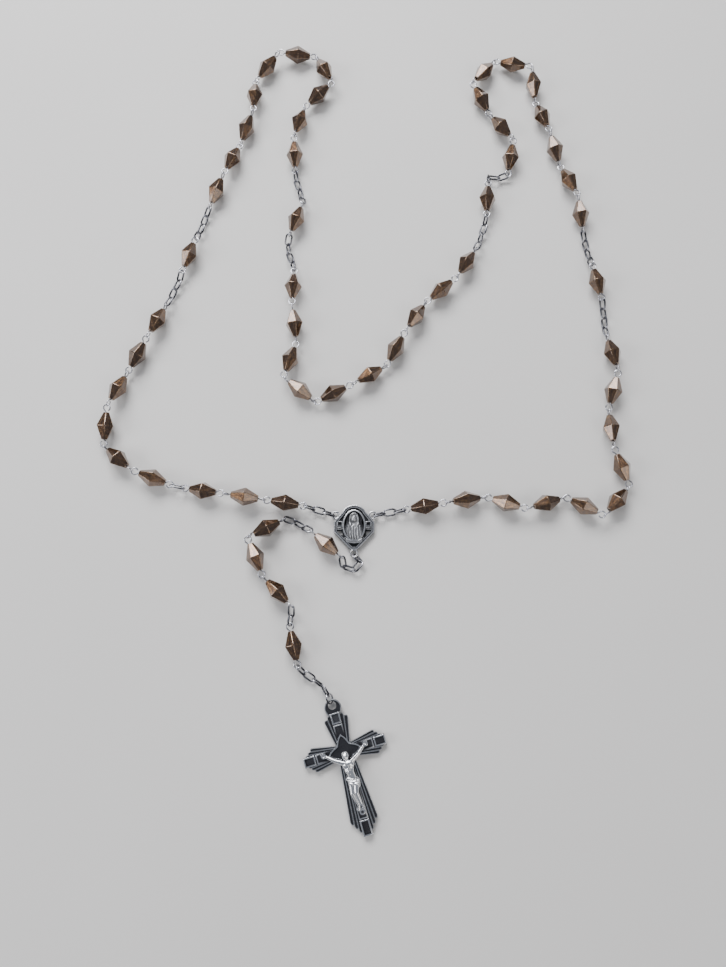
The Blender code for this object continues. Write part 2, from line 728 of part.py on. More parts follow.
loop = loop_plan()
loop_pieces = pieces_of(loop)
loop_heights = crossing_heights(loop_pieces, MEDAL_EYE_HEIGHT, MEDAL_EYE_HEIGHT)
loop_plan_view, loop_scale = close_loop(right_eye, left_eye, level_spans(loop_pieces, loop_heights))
loop_crossings = raised(loop_plan_view, loop_heights)
build_strand(loop, loop_pieces, loop_crossings, alternate_rolls(len(loop_pieces)))

pendant = pendant_plan()
pendant_pieces = pieces_of(pendant)
pendant_heights = crossing_heights(pendant_pieces, MEDAL_EYE_HEIGHT,
                                   (CAP_BACK + CAP_FRONT) / 2)
pendant_heights[-2] = RING_HEIGHT
pendant_path = route_path(bottom_eye, PENDANT_ROUTE, None, loop_scale)
pendant_plan_view, _ = walk(pendant_path, level_spans(pendant_pieces, pendant_heights))
pendant_crossings = raised(pendant_plan_view, pendant_heights)
pendant_rolls = alternate_rolls(len(pendant_pieces))
for back, degrees in enumerate((125, 35, 75, -10)):  # the ring leans, and the last links with it
    pendant_rolls[-1 - back] = math.radians(degrees)
build_strand(pendant, pendant_pieces, pendant_crossings, pendant_rolls)

medal_mesh = fused(medal_shapes())
add_node("centre_medal", medal_mesh, Vector((0, 0, 0)), principled("centre_medal", SILVER, 0.4, 1.0))

hang_point = pendant_crossings[-1]
hang_in_cross = Vector((0, CROSS_TOP - CAP_EDGE - CLEARANCE / 2, 0))
cross_frame = (Matrix.Translation((hang_point.x, hang_point.y, 0))
               @ Matrix.Rotation(CROSS_TURN, 4, "Z") @ Matrix.Translation(-hang_in_cross))
cross_mesh = fused(cross_shapes())
cross_mesh.transform(cross_frame)
add_node("crucifix_cross", cross_mesh, hang_point, principled("crucifix_cross", DARK_SILVER, 0.45, 1.0))
figure_mesh = fused(figure_shapes())
figure_mesh.transform(cross_frame)
figure_material = principled("crucifix_figure", SILVER, 0.25, 1.0)
add_node("crucifix_figure", figure_mesh, hang_point, figure_material, smooth=True)

print(f"loop scale {loop_scale:.4f}, {len(rosary.objects)} parts")
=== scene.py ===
# %% [markdown]
# # A five-decade rosary laid on a table
#
# The rosary is a string of hard pieces: faceted beads on bent wires, oval chain links, a cast centre
# medal and a cast crucifix. We load its measured solid model, then make a finished version of every
# piece exactly where that model has it, so that each one moves on the same joint as the plain one.

# %% Load the measured model
import math

import bmesh
import bpy
from mathutils import Matrix, Vector
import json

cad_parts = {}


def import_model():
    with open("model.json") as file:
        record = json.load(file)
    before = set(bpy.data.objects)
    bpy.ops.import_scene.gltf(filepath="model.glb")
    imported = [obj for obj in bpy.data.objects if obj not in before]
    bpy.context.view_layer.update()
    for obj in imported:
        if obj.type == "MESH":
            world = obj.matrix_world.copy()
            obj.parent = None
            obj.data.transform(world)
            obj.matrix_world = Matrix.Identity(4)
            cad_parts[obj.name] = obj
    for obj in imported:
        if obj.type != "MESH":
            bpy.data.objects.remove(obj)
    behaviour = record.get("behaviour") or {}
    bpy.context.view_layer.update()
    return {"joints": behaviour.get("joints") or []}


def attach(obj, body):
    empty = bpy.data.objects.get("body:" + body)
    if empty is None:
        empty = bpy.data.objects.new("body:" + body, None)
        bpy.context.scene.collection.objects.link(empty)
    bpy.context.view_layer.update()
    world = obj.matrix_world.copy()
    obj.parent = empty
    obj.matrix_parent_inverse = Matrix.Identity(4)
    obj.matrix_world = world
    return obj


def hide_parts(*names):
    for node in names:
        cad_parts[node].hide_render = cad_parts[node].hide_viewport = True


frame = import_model()
MM = 0.001

# %% [markdown]
# The rosary lies on a pale table and is seen from nearly straight above. A camera is placed from the
# height of the eye and its tilt, and the lens is chosen so that the whole strand fills the picture.

# %% The camera
EYE_PLACE = Vector((0.0028, -0.0385, 0.2486))
EYE_TILT = math.radians(12)
SENSOR_WIDTH, LENS = 36, 39.67


def in_scene(name, data):
    """A new object with this data, linked to the scene."""
    made = bpy.data.objects.new(name, data)
    bpy.context.scene.collection.objects.link(made)
    return made


camera = in_scene("table_camera", bpy.data.cameras.new("table_camera"))
camera.data.sensor_fit, camera.data.sensor_width = "HORIZONTAL", SENSOR_WIDTH
camera.data.lens, camera.data.clip_start = LENS, 0.01
camera.location = EYE_PLACE
camera.rotation_euler = (EYE_TILT, 0, 0)
bpy.context.scene.camera = camera
print(f"camera {EYE_PLACE.z / MM:.0f} mm over the table")

# %% [markdown]
# ## Where every piece lies
#
# The strand is laid out by rule. A route says where it bends, and each bead or link then takes its
# own exact length along that route, so the places are worked out and never typed in one by one. These
# are the sizes of the pieces.

# %% Sizes of the strand
BEAD_LENGTH, BEAD_WIDTH, BEAD_TIP_WIDTH, BEAD_SIDES = 8.7 * MM, 5.9 * MM, 2.0 * MM, 6
WIRE, EYE_WIDTH, EYE_NECK = 0.45 * MM, 2.1 * MM, 0.35 * MM
EYE_STRAIGHT, EYE_BEND = math.radians(45), math.radians(18)
LINK_LENGTH, LINK_WIDTH, LINK_WIRE, REPAIR_LENGTH = 4.1 * MM, 2.4 * MM, 0.5 * MM, 5.2 * MM
CLEARANCE, HOLD = 0.3 * MM, 0.25 * MM
BEAD_SWING, CHAIN_LIFT = 0.9 * MM, 0.25 * MM
RING_WIDTH, RING_WIRE, RING_HEIGHT = 3.6 * MM, 0.5 * MM, 2.0 * MM
MEDAL_EYE_WIDTH, MEDAL_EYE_WIRE, MEDAL_EYE_HEIGHT = 2.2 * MM, 0.6 * MM, 1.0 * MM
SIDE_EYE, BOTTOM_EYE = Vector((5.85, 3.95)) * MM, 8.05 * MM
CAP_BACK, CAP_FRONT = 0.8 * MM, 1.6 * MM

LOOP_ROUTE = [
    (13, 5), (28.5, 7.5), (41.5, 9.5), (54, 5.5), (66, 9.5), (77.5, 3.5), (86.5, 13), (82, 25),
    (81.5, 38), (85, 51), (82.5, 63.5), (82, 73), (79, 88.5), (77, 100), (75.5, 113.5), (70.5, 125),
    (67, 138), (63, 150), (62, 163), (49.5, 166.5), (41, 157), (47, 145), (54.5, 134.5), (52.5, 122),
    (49.5, 121), (46.5, 121.8), (45.5, 119.3), (44.6, 106.6), (41, 95), (34.5, 84), (24, 75.5),
    (17, 65), (11, 53.5), (0, 46.5), (-11.5, 40.5), (-22.5, 47.5), (-19, 60), (-20.5, 73),
    (-20, 86), (-22.5, 96), (-17.5, 110), (-20, 120), (-21, 134.5), (-18.5, 147), (-8, 155.5),
    (-12.5, 167.5), (-25.5, 169.5), (-34.5, 160), (-35, 147), (-39, 135), (-49, 110.5),
    (-57, 86.5), (-67, 63), (-73, 51.5), (-78.5, 40), (-80, 27), (-70, 18), (-56, 13),
    (-28.5, 8.6), (-14, 6.2),
]
PENDANT_ROUTE = [
    (2.2, -10.6), (0.4, -13.2), (-2.9, -12.7), (-3.5, -10), (-8.3, -5.4), (-13.1, -1.4), (-16.8, 0.7),
    (-21.1, 2.6), (-32.3, -1.6), (-29, -13.6), (-20.7, -23.3), (-18.3, -25.2), (-19.3, -28),
    (-18.2, -40.7), (-15.9, -43), (-13.6, -45.2), (-10.2, -47), (-7.4, -51), (-5.4, -56),
]
print(f"{len(LOOP_ROUTE)} bends in the loop, {len(PENDANT_ROUTE)} in the pendant")

# %% [markdown]
# A rosary is counted, not measured: ten small prayers to a decade, one larger prayer between decades.
# So the order of the pieces is written as a plan. Each entry is one length that moves as a whole.

# %% The order of the pieces
LINK, REPAIR, BEAD, DRILLED, RING = "link", "repair link", "bead", "drilled bead", "ring"


def decade(number, first, last):
    plan = []
    for bead in range(first, last + 1, 2):
        if bead < last:
            plan.append((f"decade_{number}_beads_{bead}_{bead + 1}", [BEAD, BEAD]))
        else:
            plan.append((f"decade_{number}_bead_{bead}", [BEAD]))
    return plan


def loop_plan():
    plan = [("loop_chain_1", [LINK] * 3)]
    links_before = {2: 4, 3: 3, 4: 4, 5: 4}
    for number in range(1, 5):
        plan += decade(number, 1, 10)
        plan.append((f"loop_chain_{2 * number}", [LINK] * links_before[number + 1]))
        plan.append((f"our_father_pin_{number}", [DRILLED]))
        plan.append((f"loop_chain_{2 * number + 1}", [LINK] * 4))
    plan += decade(5, 1, 6) + [("repair_link", [REPAIR])] + decade(5, 7, 9)
    return plan + [("loop_chain_10", [LINK] * 3)]


def pendant_plan():
    plan = [("pendant_chain_1", [LINK] * 4), ("pendant_pin_1", [DRILLED])]
    plan.append(("pendant_chain_2", [LINK] * 3))
    plan += [(f"pendant_bead_{number}", [BEAD]) for number in (1, 2, 3)]
    plan += [("pendant_chain_3", [LINK] * 2), ("pendant_pin_2", [DRILLED])]
    return plan + [("pendant_chain_4", [LINK] * 4), ("crucifix_ring", [RING])]


print(f"{len(loop_plan())} moving lengths in the loop, {len(pendant_plan())} in the pendant")

# %% [markdown]
# Two neighbours cross where one wire passes inside the other. From a piece's middle to that crossing
# is a fixed distance. The crossings are also lifted off the table: a bead rests on its waist and
# rocks, so its ends go down and up by turns, and a chain lies low.

# %% Distances and heights of the crossings


def half_length(kind, slack):
    if kind in (BEAD, DRILLED):
        return BEAD_LENGTH / 2 + EYE_NECK + EYE_WIDTH - WIRE / 2 - slack / 2
    if kind == RING:
        return RING_WIDTH / 2 - RING_WIRE - slack / 2
    length = REPAIR_LENGTH if kind == REPAIR else LINK_LENGTH
    return length / 2 - LINK_WIRE - slack / 2


def pieces_of(plan):
    pieces = []
    for body, kinds in plan:
        for place, kind in enumerate(kinds):
            before = CLEARANCE if place == 0 else -HOLD
            after = CLEARANCE if place == len(kinds) - 1 else -HOLD
            pieces.append((body, kind, half_length(kind, before), half_length(kind, after)))
    return pieces


def crossing_heights(pieces, first, last):
    waist, low = BEAD_WIDTH / 2, LINK_WIDTH / 2 + CHAIN_LIFT
    heights = [low] * (len(pieces) + 1)
    start = 0
    while start < len(pieces):
        stop = start
        while stop < len(pieces) and pieces[stop][1] in (BEAD, DRILLED):
            stop += 1
        count = stop - start
        for step in range(count + 1 if count else 0):
            swing = BEAD_SWING if step % 2 else -BEAD_SWING
            level = count % 2 and step >= count - 1
            heights[start + step] = waist if level else waist + swing
        start = max(stop, start + 1)
    heights[0], heights[-1] = first, last
    return heights


loop_pieces = pieces_of(loop_plan())
pendant_pieces = pieces_of(pendant_plan())
loop_heights = crossing_heights(loop_pieces, MEDAL_EYE_HEIGHT, MEDAL_EYE_HEIGHT)
pendant_heights = crossing_heights(pendant_pieces, MEDAL_EYE_HEIGHT, (CAP_BACK + CAP_FRONT) / 2)
pendant_heights[-2] = RING_HEIGHT
print(f"{len(loop_pieces) + len(pendant_pieces)} beads, links and rings")

# %% [markdown]
# A wire strand bends softly, so the bends are joined by a smooth curve. This one blends straight
# lines between its neighbouring points, and it never swings out wide where two bends are close.

# %% A smooth path through the bends
PATH_STEPS = 14


def smooth_path(points, steps=PATH_STEPS):
    ends = [2 * points[0] - points[1], 2 * points[-1] - points[-2]]
    around = [ends[0], *points, ends[1]]
    path = [points[0]]
    for p0, p1, p2, p3 in zip(around, around[1:], around[2:], around[3:]):
        knots = [0.0]
        for near, far in ((p0, p1), (p1, p2), (p2, p3)):
            knots.append(knots[-1] + math.sqrt((far - near).length))
        t0, t1, t2, t3 = knots
        for step in range(1, steps + 1):
            t = t1 + (t2 - t1) * step / steps
            a1 = p0.lerp(p1, (t - t0) / (t1 - t0))
            a2 = p1.lerp(p2, (t - t1) / (t2 - t1))
            a3 = p2.lerp(p3, (t - t2) / (t3 - t2))
            b1 = a1.lerp(a2, (t - t0) / (t2 - t0))
            b2 = a2.lerp(a3, (t - t1) / (t3 - t1))
            path.append(b1.lerp(b2, (t - t1) / (t2 - t1)))
    return path


print(f"{PATH_STEPS} points from one bend to the next")

# %% [markdown]
# The strand is walked along that curve, one exact step for each piece. A step is a straight span
# between two crossings, so its end is found by halving: nearer or further until the span is right.

# %% Walking the path in exact steps
RUN_OUT = 0.5  # metres added past the route's end, so that a walk never falls short
HALVINGS = 50


def walk(path, spans):
    run_out = path + [path[-1] + (path[-1] - path[-2]).normalized() * RUN_OUT]
    crossings, index = [path[0]], 1
    for span in spans:
        here = crossings[-1]
        while index < len(run_out) - 1 and (run_out[index] - here).length < span:
            index += 1
        near, far = run_out[index - 1], run_out[index]
        if (near - here).length > span or index == 1:
            near = here
        low, high = 0.0, 1.0
        for _ in range(HALVINGS):
            middle = (low + high) / 2
            if (near.lerp(far, middle) - here).length < span:
                low = middle
            else:
                high = middle
        crossings.append(near.lerp(far, low))
    left_over = sum((b - a).length for a, b in zip(run_out[index:-1], run_out[index + 1:-1]))
    end = crossings[-1]
    if index < len(run_out) - 1:
        return crossings, -left_over - (run_out[index] - end).length
    return crossings, (end - path[-1]).length


print(f"each step is halved {HALVINGS} times")

# %% [markdown]
# The loop has to end at the medal's other eye. Its pieces can't stretch, so its route is made a little
# larger or smaller until the last link arrives there. The pendant is free, and just ends in the cross.

# %% Closing the loop
LEAST_SCALE, MOST_SCALE = 0.6, 1.6


def route_path(start, route, end, scale):
    middle = [Vector(point) * MM * scale for point in route]
    return smooth_path([start, *middle, *([end] if end else [])])


def level_spans(pieces, heights):
    return [math.sqrt((before + after) ** 2 - (high - low) ** 2)
            for (_, _, before, after), low, high in zip(pieces, heights, heights[1:])]


def close_loop(start, end, spans):
    low, high = LEAST_SCALE, MOST_SCALE
    for _ in range(HALVINGS):
        scale = (low + high) / 2
        crossings, past_end = walk(route_path(start, LOOP_ROUTE, end, scale), spans)
        low, high = (scale, high) if past_end > 0 else (low, scale)
    return crossings, scale


def raised(crossings, heights):
    return [Vector((point.x, point.y, height)) for point, height in zip(crossings, heights)]


eye_reach = MEDAL_EYE_WIDTH / 2 - MEDAL_EYE_WIRE / 2 - CLEARANCE / 2
right_eye = Vector((SIDE_EYE.x + eye_reach, SIDE_EYE.y))
left_eye = Vector((-SIDE_EYE.x - eye_reach, SIDE_EYE.y))
bottom_eye = Vector((0, -BOTTOM_EYE - eye_reach))
loop_flat, route_scale = close_loop(right_eye, left_eye, level_spans(loop_pieces, loop_heights))
loop_crossings = raised(loop_flat, loop_heights)
pendant_flat, _ = walk(route_path(bottom_eye, PENDANT_ROUTE, None, route_scale),
                       level_spans(pendant_pieces, pendant_heights))
pendant_crossings = raised(pendant_flat, pendant_heights)
print(f"the route is drawn at {route_scale:.4f} of its size")

# %% [markdown]
# A check before anything is made: the joints of the measured model are at some of these crossings, so
# the two layouts have to agree to a hair.

# %% Comparing the crossings with the measured joints
every_crossing = loop_crossings + pendant_crossings
furthest = max(min((Vector(joint["pos_m"]) - crossing).length for crossing in every_crossing)
               for joint in frame["joints"] if "hinge" in joint["name"])
print(f"the furthest joint is {furthest / MM:.4f} mm from its crossing")

# %% [markdown]
# A piece that lies along the strand gets its own frame: X along the strand, Z up, then rolled round
# the strand. Neighbouring eyes and links stand at right angles, so one is upright and the next flat.

# %% Frames along the strand


def frame_between(start, end, roll, offset):
    along = (end - start).normalized()
    side = Vector((0, 0, 1)).cross(along).normalized()
    turn = Matrix((along, side, along.cross(side))).transposed().to_4x4()
    return Matrix.Translation(start + along * offset) @ turn @ Matrix.Rotation(roll, 4, "X")


def leaned(own, other):
    """An eye is bent towards its neighbour where the two meet at a sharp angle."""
    angle = own.angle(other)
    lean = min(max(angle - EYE_STRAIGHT, 0) / 2, EYE_BEND)
    return own.slerp(other, lean / angle) if lean else own


def crossed_rolls(pieces):
    return [0.0 if place % 2 else math.pi / 2 for place in range(len(pieces))]


END_ROLLS = (-10, 75, 35, 125)
loop_rolls = crossed_rolls(loop_pieces)
pendant_rolls = crossed_rolls(pendant_pieces)[:-4] + [math.radians(roll) for roll in END_ROLLS]
print("the ring and the last links of the pendant lean on each other")

# %% [markdown]
# ## Finishes
#
# Shader sums are easier to read as sums. A small class holds a socket and lets Python's own signs add
# the Math nodes, so that 1 - mask is written just like that. Its `ramp` and `mix` are for colours.

# %% A socket that can be used in sums


class Flow:
    """What comes out of a node, ready to be added, multiplied or mixed."""

    def __init__(self, tree, socket):
        self.tree, self.socket = tree, socket

    def node(self, kind, settings=(), **inputs):
        return make_node(self.tree, kind, settings, **inputs)

    def sum_with(self, operation, other, swapped=False):
        pair = (other, self) if swapped else (self, other)
        if self.socket.type == "VECTOR":
            made = make_node(self.tree, "ShaderNodeVectorMath", {"operation": operation})
        else:
            made = make_node(self.tree, "ShaderNodeMath", {"operation": operation})
        for socket, value in zip(made.socket.node.inputs, pair):
            feed(self.tree, socket, value)
        return made

    def __add__(self, other):
        return self.sum_with("ADD", other)

    def __sub__(self, other):
        return self.sum_with("SUBTRACT", other)

    def __rsub__(self, other):
        return self.sum_with("SUBTRACT", other, swapped=True)

    def __mul__(self, other):
        return self.sum_with("MULTIPLY", other)

    __radd__, __rmul__ = __add__, __mul__

    def ramp(self, *stops):
        """A smooth change of value: each stop is a place from 0 to 1 and its grey or colour."""
        return self.node("ShaderNodeValToRGB", {"stops": stops}, Fac=self)

    def mix(self, low, high):
        """`low` where this is 0 and `high` where it is 1, for colours."""
        return self.node("ShaderNodeMix", {"data_type": "RGBA"}, Factor_Float=self,
                         A_Color=low, B_Color=high)


print("nodes are written as sums from here on")

# %% [markdown]
# Every node comes from one function, which takes its type, its settings and then its inputs by name.
# An input is fed a link where the value comes from another node, and a plain number or colour if not.

# %% Making any other node


def feed(tree, socket, value):
    if isinstance(value, Flow):
        tree.links.new(value.socket, socket)
    elif socket.type == "RGBA":
        socket.default_value = (*value, 1.0)
    elif socket.type == "VECTOR" and not hasattr(value, "__len__"):
        socket.default_value = (value, value, value)
    else:
        socket.default_value = value


def make_node(tree, kind, settings=(), **inputs):
    made = tree.nodes.new(kind)
    for setting, value in dict(settings).items():
        if setting == "stops":
            ramp = made.color_ramp.elements
            while len(ramp) < len(value):
                ramp.new(1.0)
            for element, (place, shade) in zip(ramp, value):
                element.position = place
                element.color = (*(shade if hasattr(shade, "__len__") else (shade,) * 3), 1.0)
        else:
            setattr(made, setting, value)
    by_name = {socket.identifier: socket for socket in made.inputs}
    by_name.update({socket.name.replace(" ", "_"): socket for socket in made.inputs if socket.enabled})
    for name, value in inputs.items():
        feed(tree, by_name[name], value)
    outputs = [socket for socket in made.outputs if socket.enabled]
    return Flow(tree, outputs[0])


print("any node can be made")

# %% [markdown]
# Every piece keeps three small records of its own shape for its finish to read. `own_place` is where a
# point is on the piece, in millimetres and before the piece was laid down. The brightness record says
# how far a point stands out and so how bright handling has rubbed it; on the wires and the medal's
# rings it is partly a painted highlight. `edge` marks the worn ridges of a bead.

# %% Starting a finish


def start_finish(name, **constants):
    """A new material, its Principled shader and the records of the piece that it can read."""
    material = bpy.data.materials.new(name)
    material.use_nodes = True
    tree = material.node_tree
    shader = tree.nodes["Principled BSDF"]
    for socket, value in constants.items():
        feed(tree, shader.inputs[socket.replace("_", " ")], value)

    def record(attribute, vector=False):
        made = make_node(tree, "ShaderNodeAttribute", {"attribute_name": attribute})
        outputs = made.socket.node.outputs
        return Flow(tree, outputs["Vector" if vector else "Fac"])

    return material, shader, record


def noise(place, size, detail=3.0, roughness=0.55):
    """Soft cloudy variation whose patches are about `size` millimetres."""
    return place.node("ShaderNodeTexNoise", Vector=place, Scale=1 / size, Detail=detail,
                      Roughness=roughness)


def bumped(tree, height, strength, distance):
    return make_node(tree, "ShaderNodeBump", Height=height, Strength=strength, Distance=distance)


print("finishes read own_place, polish and edge")

# %% [markdown]
# The beads are dark glass with a thin bronze lustre. The lustre lies in fine streaks along the bead,
# from brown to gold, with faint lilac patches, and it is rubbed pale on the ridges. A clear glossy
# surface lies over it all, so a facet that faces the light shines.

# %% Bronze lustre for the beads


def bronze_lustre():
    material, shader, record = start_finish("bronze_lustre", Metallic=0.82, Coat_Weight=1.0,
                                            Coat_Roughness=0.05, Coat_IOR=1.6,
                                            Coat_Tint=(1.0, 0.95, 0.93))
    tree = material.node_tree
    place, tone, edge = record("own_place", vector=True), record("tone"), record("edge")
    streaks = noise(place * (0.16, 1.0, 1.0), 0.42, detail=4)
    patches = noise(place + tone.node("ShaderNodeCombineXYZ", X=tone * 9.0), 2.2, detail=2)
    brown = streaks.ramp((0.30, (0.040, 0.019, 0.008)), (0.50, (0.115, 0.060, 0.027)),
                         (0.72, (0.33, 0.195, 0.085)))
    lilac = patches.ramp((0.48, 0.0), (0.72, 0.28)).mix(brown, (0.17, 0.125, 0.11))
    shade = (tone * 0.45).mix(lilac, (0.06, 0.031, 0.016))
    worn = (edge * noise(place, 0.5).ramp((0.35, 0.0), (0.62, 0.45))).mix(shade, (0.30, 0.21, 0.13))
    feed(tree, shader.inputs["Base Color"], worn)
    feed(tree, shader.inputs["Roughness"], streaks * 0.14 + patches * 0.12 + 0.08)
    feed(tree, shader.inputs["Normal"], bumped(tree, streaks, 0.12, 0.00005))
    return material


bead_finish = bronze_lustre()
print(f"{bead_finish.name}: {len(bead_finish.node_tree.nodes)} nodes")

# %% [markdown]
# Wires, links, medal and crucifix are silver-coloured metal that was darkened and then rubbed. One
# recipe makes them all: dark where the piece is low, bright where it stands out, with cloudy patches
# of tarnish, small dents and a rougher surface in the hollows. On the wires and the medal's rings the
# bright parts are partly a painted highlight as well as wear. Stamped fields get a fine grain.

# %% Darkened and rubbed silver


def rubbed_and_highlit_silver(name, dark, bright, dark_rough, bright_rough, tarnish=0.35, grain=0.0):
    material, shader, record = start_finish(name, Metallic=1.0)
    tree = material.node_tree
    place, polish = record("own_place", vector=True), record("polish")
    clouds, fine = noise(place, 1.7), noise(place, 0.22, detail=4)
    wear_tarnish_and_highlight = polish + (clouds - 0.5) * tarnish + (fine - 0.5) * tarnish
    # The colour runs from dark to bright with the brightness record: patina and wear on the cast
    # pieces, and partly a painted highlight on the wires and the medal's rings.
    colour = wear_tarnish_and_highlight.ramp((0.12, dark), (0.5, tuple((d + b) / 2.4 for d, b in zip(dark, bright))),
                         (0.86, bright))
    if grain:
        spots = place.node("ShaderNodeTexVoronoi", Vector=place, Scale=1 / grain)
        hollow = (1 - polish) * spots.ramp((0.18, 1.0), (0.5, 0.0))
        colour = (hollow * 0.6).mix(colour, tuple(value * 0.35 for value in dark))
        fine = fine + hollow * -1.6
    feed(tree, shader.inputs["Base Color"], colour)
    feed(tree, shader.inputs["Roughness"], wear_tarnish_and_highlight * (bright_rough - dark_rough) + dark_rough)
    feed(tree, shader.inputs["Normal"], bumped(tree, fine, 0.35 if grain else 0.2, 0.00006))
    return material


wire_finish = rubbed_and_highlit_silver("darkened_wire", (0.03, 0.03, 0.038), (0.80, 0.80, 0.84),
                            0.38, 0.17, tarnish=0.6)
medal_finish = rubbed_and_highlit_silver("medal_silver", (0.045, 0.046, 0.05), (0.70, 0.70, 0.71),
                             0.55, 0.27, grain=0.3)
cross_finish = rubbed_and_highlit_silver("cross_dark_silver", (0.055, 0.056, 0.063), (0.74, 0.75, 0.77),
                             0.5, 0.24, tarnish=0.3, grain=0.34)
figure_finish = rubbed_and_highlit_silver("figure_silver", (0.16, 0.16, 0.17), (0.86, 0.86, 0.87),
                              0.38, 0.19, tarnish=0.25)
print("four silver finishes")

# %% [markdown]
# ## Making pieces
#
# Each piece is shaped round its own middle. Then it is laid in its place in the mesh itself, so that
# its object stays at the origin, and it is tied to the body that it moves with.

# %% Finishing a piece
MERGE_WITHIN = 1e-7


def keep_record(mesh, name, values, domain="POINT"):
    kind = "FLOAT_VECTOR" if hasattr(values[0], "__len__") else "FLOAT"
    layer = mesh.attributes.get(name) or mesh.attributes.new(name, kind, domain)
    if kind == "FLOAT":
        layer.data.foreach_set("value", values)
    else:
        layer.data.foreach_set("vector", [part for value in values for part in value])


def lay_piece(name, mesh, place, finish, body, nodes, slot, polish=lambda point: 1.0, angle=40):
    """A finished mesh, shaped round its own middle, becomes a piece of the rosary."""
    keep_record(mesh, "own_place", [vertex.co / MM for vertex in mesh.vertices])
    if "polish" not in mesh.attributes:
        keep_record(mesh, "polish", [min(max(polish(v.co / MM), 0.0), 1.0) for v in mesh.vertices])
    mesh.transform(place)
    mesh.materials.clear()
    mesh.materials.append(finish)
    if angle:
        mesh.shade_smooth()
        mesh.set_sharp_from_angle(angle=math.radians(angle))
    piece = in_scene(name, mesh)
    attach(piece, body)
    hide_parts(*nodes)


def turned_out(work, name):
    """A mesh from a bmesh, which is used up, with its faces turned outwards."""
    bmesh.ops.recalc_face_normals(work, faces=work.faces)
    mesh = bpy.data.meshes.new(name)
    work.to_mesh(mesh)
    work.free()
    return mesh


def mesh_from(work, name):
    """The same for a finished piece, with its doubles merged first."""
    bmesh.ops.remove_doubles(work, verts=work.verts, dist=MERGE_WITHIN)
    return turned_out(work, name)


def verts_in(parts):
    return [part for part in parts if isinstance(part, bmesh.types.BMVert)]


print("pieces are ready to be made")

# %% [markdown]
# A bead is two six-sided tapers base to base with a hole through them. We draw half of its section
# from the hole's wall out to the waist and back, and spin it round the wire in six steps. Real ridges
# are never knife sharp, so they get a narrow two-step bevel, whose faces are marked as edges.

# %% A faceted bead
BORE = 0.42 * MM
RIDGE = 0.13 * MM


def bead_mesh(tone):
    work = bmesh.new()
    half, waist, tip = BEAD_LENGTH / 2, BEAD_WIDTH / 2, BEAD_TIP_WIDTH / 2
    section = [(half, BORE), (half, tip), (0, waist), (-half, tip), (-half, BORE)]
    corners = [work.verts.new((x, 0, radius)) for x, radius in section]
    lines = [work.edges.new(pair) for pair in zip(corners, corners[1:] + corners[:1])]
    bmesh.ops.spin(work, geom=corners + lines, cent=(0, 0, 0), axis=(1, 0, 0), angle=math.tau,
                   steps=BEAD_SIDES, use_merge=True)
    bmesh.ops.recalc_face_normals(work, faces=work.faces)
    outer = [edge for edge in work.edges
             if all(vertex.co.yz.length > tip * 0.9 for vertex in edge.verts)]
    bevelled = bmesh.ops.bevel(work, geom=outer, offset=RIDGE, offset_type="OFFSET", segments=2,
                               profile=0.5, affect="EDGES", material=-1)
    ridges = set(bevelled["faces"])
    worn = [1.0 if face in ridges else 0.0 for face in work.faces]
    for face in work.faces:
        face.smooth = face in ridges
    mesh = turned_out(work, "bead")
    keep_record(mesh, "edge", worn, "FACE")
    keep_record(mesh, "tone", [tone] * len(mesh.vertices))
    return mesh


print(f"a bead has {len(bead_mesh(tone=0.5).polygons)} faces")

# %% [markdown]
# Everything bent from wire is made one way: a small circle is extruded along a path and turned a
# little at each step. An open wire gets flat ends, and a closed link has its last ring bridged to its
# first.

# %% Bending wire


def bend_wire(work, path, thickness, sides=8, closed=False):
    ways = [(b - a).normalized() for a, b in zip(path, path[1:] + path[:1])]
    if not closed:
        ways[-1] = ways[-2]
    facing = [ways[0] if not closed and index == 0 else (ways[index - 1] + ways[index]).normalized()
              for index in range(len(path))]
    first = Matrix.Translation(path[0]) @ facing[0].to_track_quat("Z", "Y").to_matrix().to_4x4()
    ring = bmesh.ops.create_circle(work, cap_ends=False, segments=sides, radius=thickness / 2,
                                   matrix=first)["verts"]
    edges = list({edge for vertex in ring for edge in vertex.link_edges})
    start = edges
    for index in range(1, len(path)):
        made = bmesh.ops.extrude_edge_only(work, edges=edges)["geom"]
        ring = verts_in(made)
        new = set(ring)
        edges = [part for part in made if isinstance(part, bmesh.types.BMEdge)
                 and all(vertex in new for vertex in part.verts)]
        turn = facing[index - 1].rotation_difference(facing[index]).to_matrix().to_4x4()
        bmesh.ops.transform(work, verts=ring, matrix=Matrix.Translation(path[index]) @ turn
                            @ Matrix.Translation(-path[index - 1]))
    if closed:
        bmesh.ops.bridge_loops(work, edges=edges + start)
    else:
        bmesh.ops.holes_fill(work, edges=edges + start, sides=sides)


def arc(centre, radius, first, last, steps):
    """Points on part of a circle in the X-Y plane, by angles in degrees."""
    angles = [math.radians(first + (last - first) * step / steps) for step in range(steps + 1)]
    return [Vector((centre + radius * math.cos(a), radius * math.sin(a), 0)) for a in angles]


print("wire can be bent")

# %% [markdown]
# A chain link is a straight-sided oval, so its path is two half circles. Two links of one chain hang
# wire to wire. The piece at either end of a chain has a little play where the joint is.

# %% An oval link, a jump ring and a bead's wire
LINK_BODY = 0.6 * MM  # a little thicker than the measured model's wire
NECK_START, NECK_MOUTH = -0.9 * MM, -0.1 * MM  # how deep in the bead the bent eye begins
EYE_FROM, EYE_TO = 150, -148  # the eye is bent nearly shut, in degrees


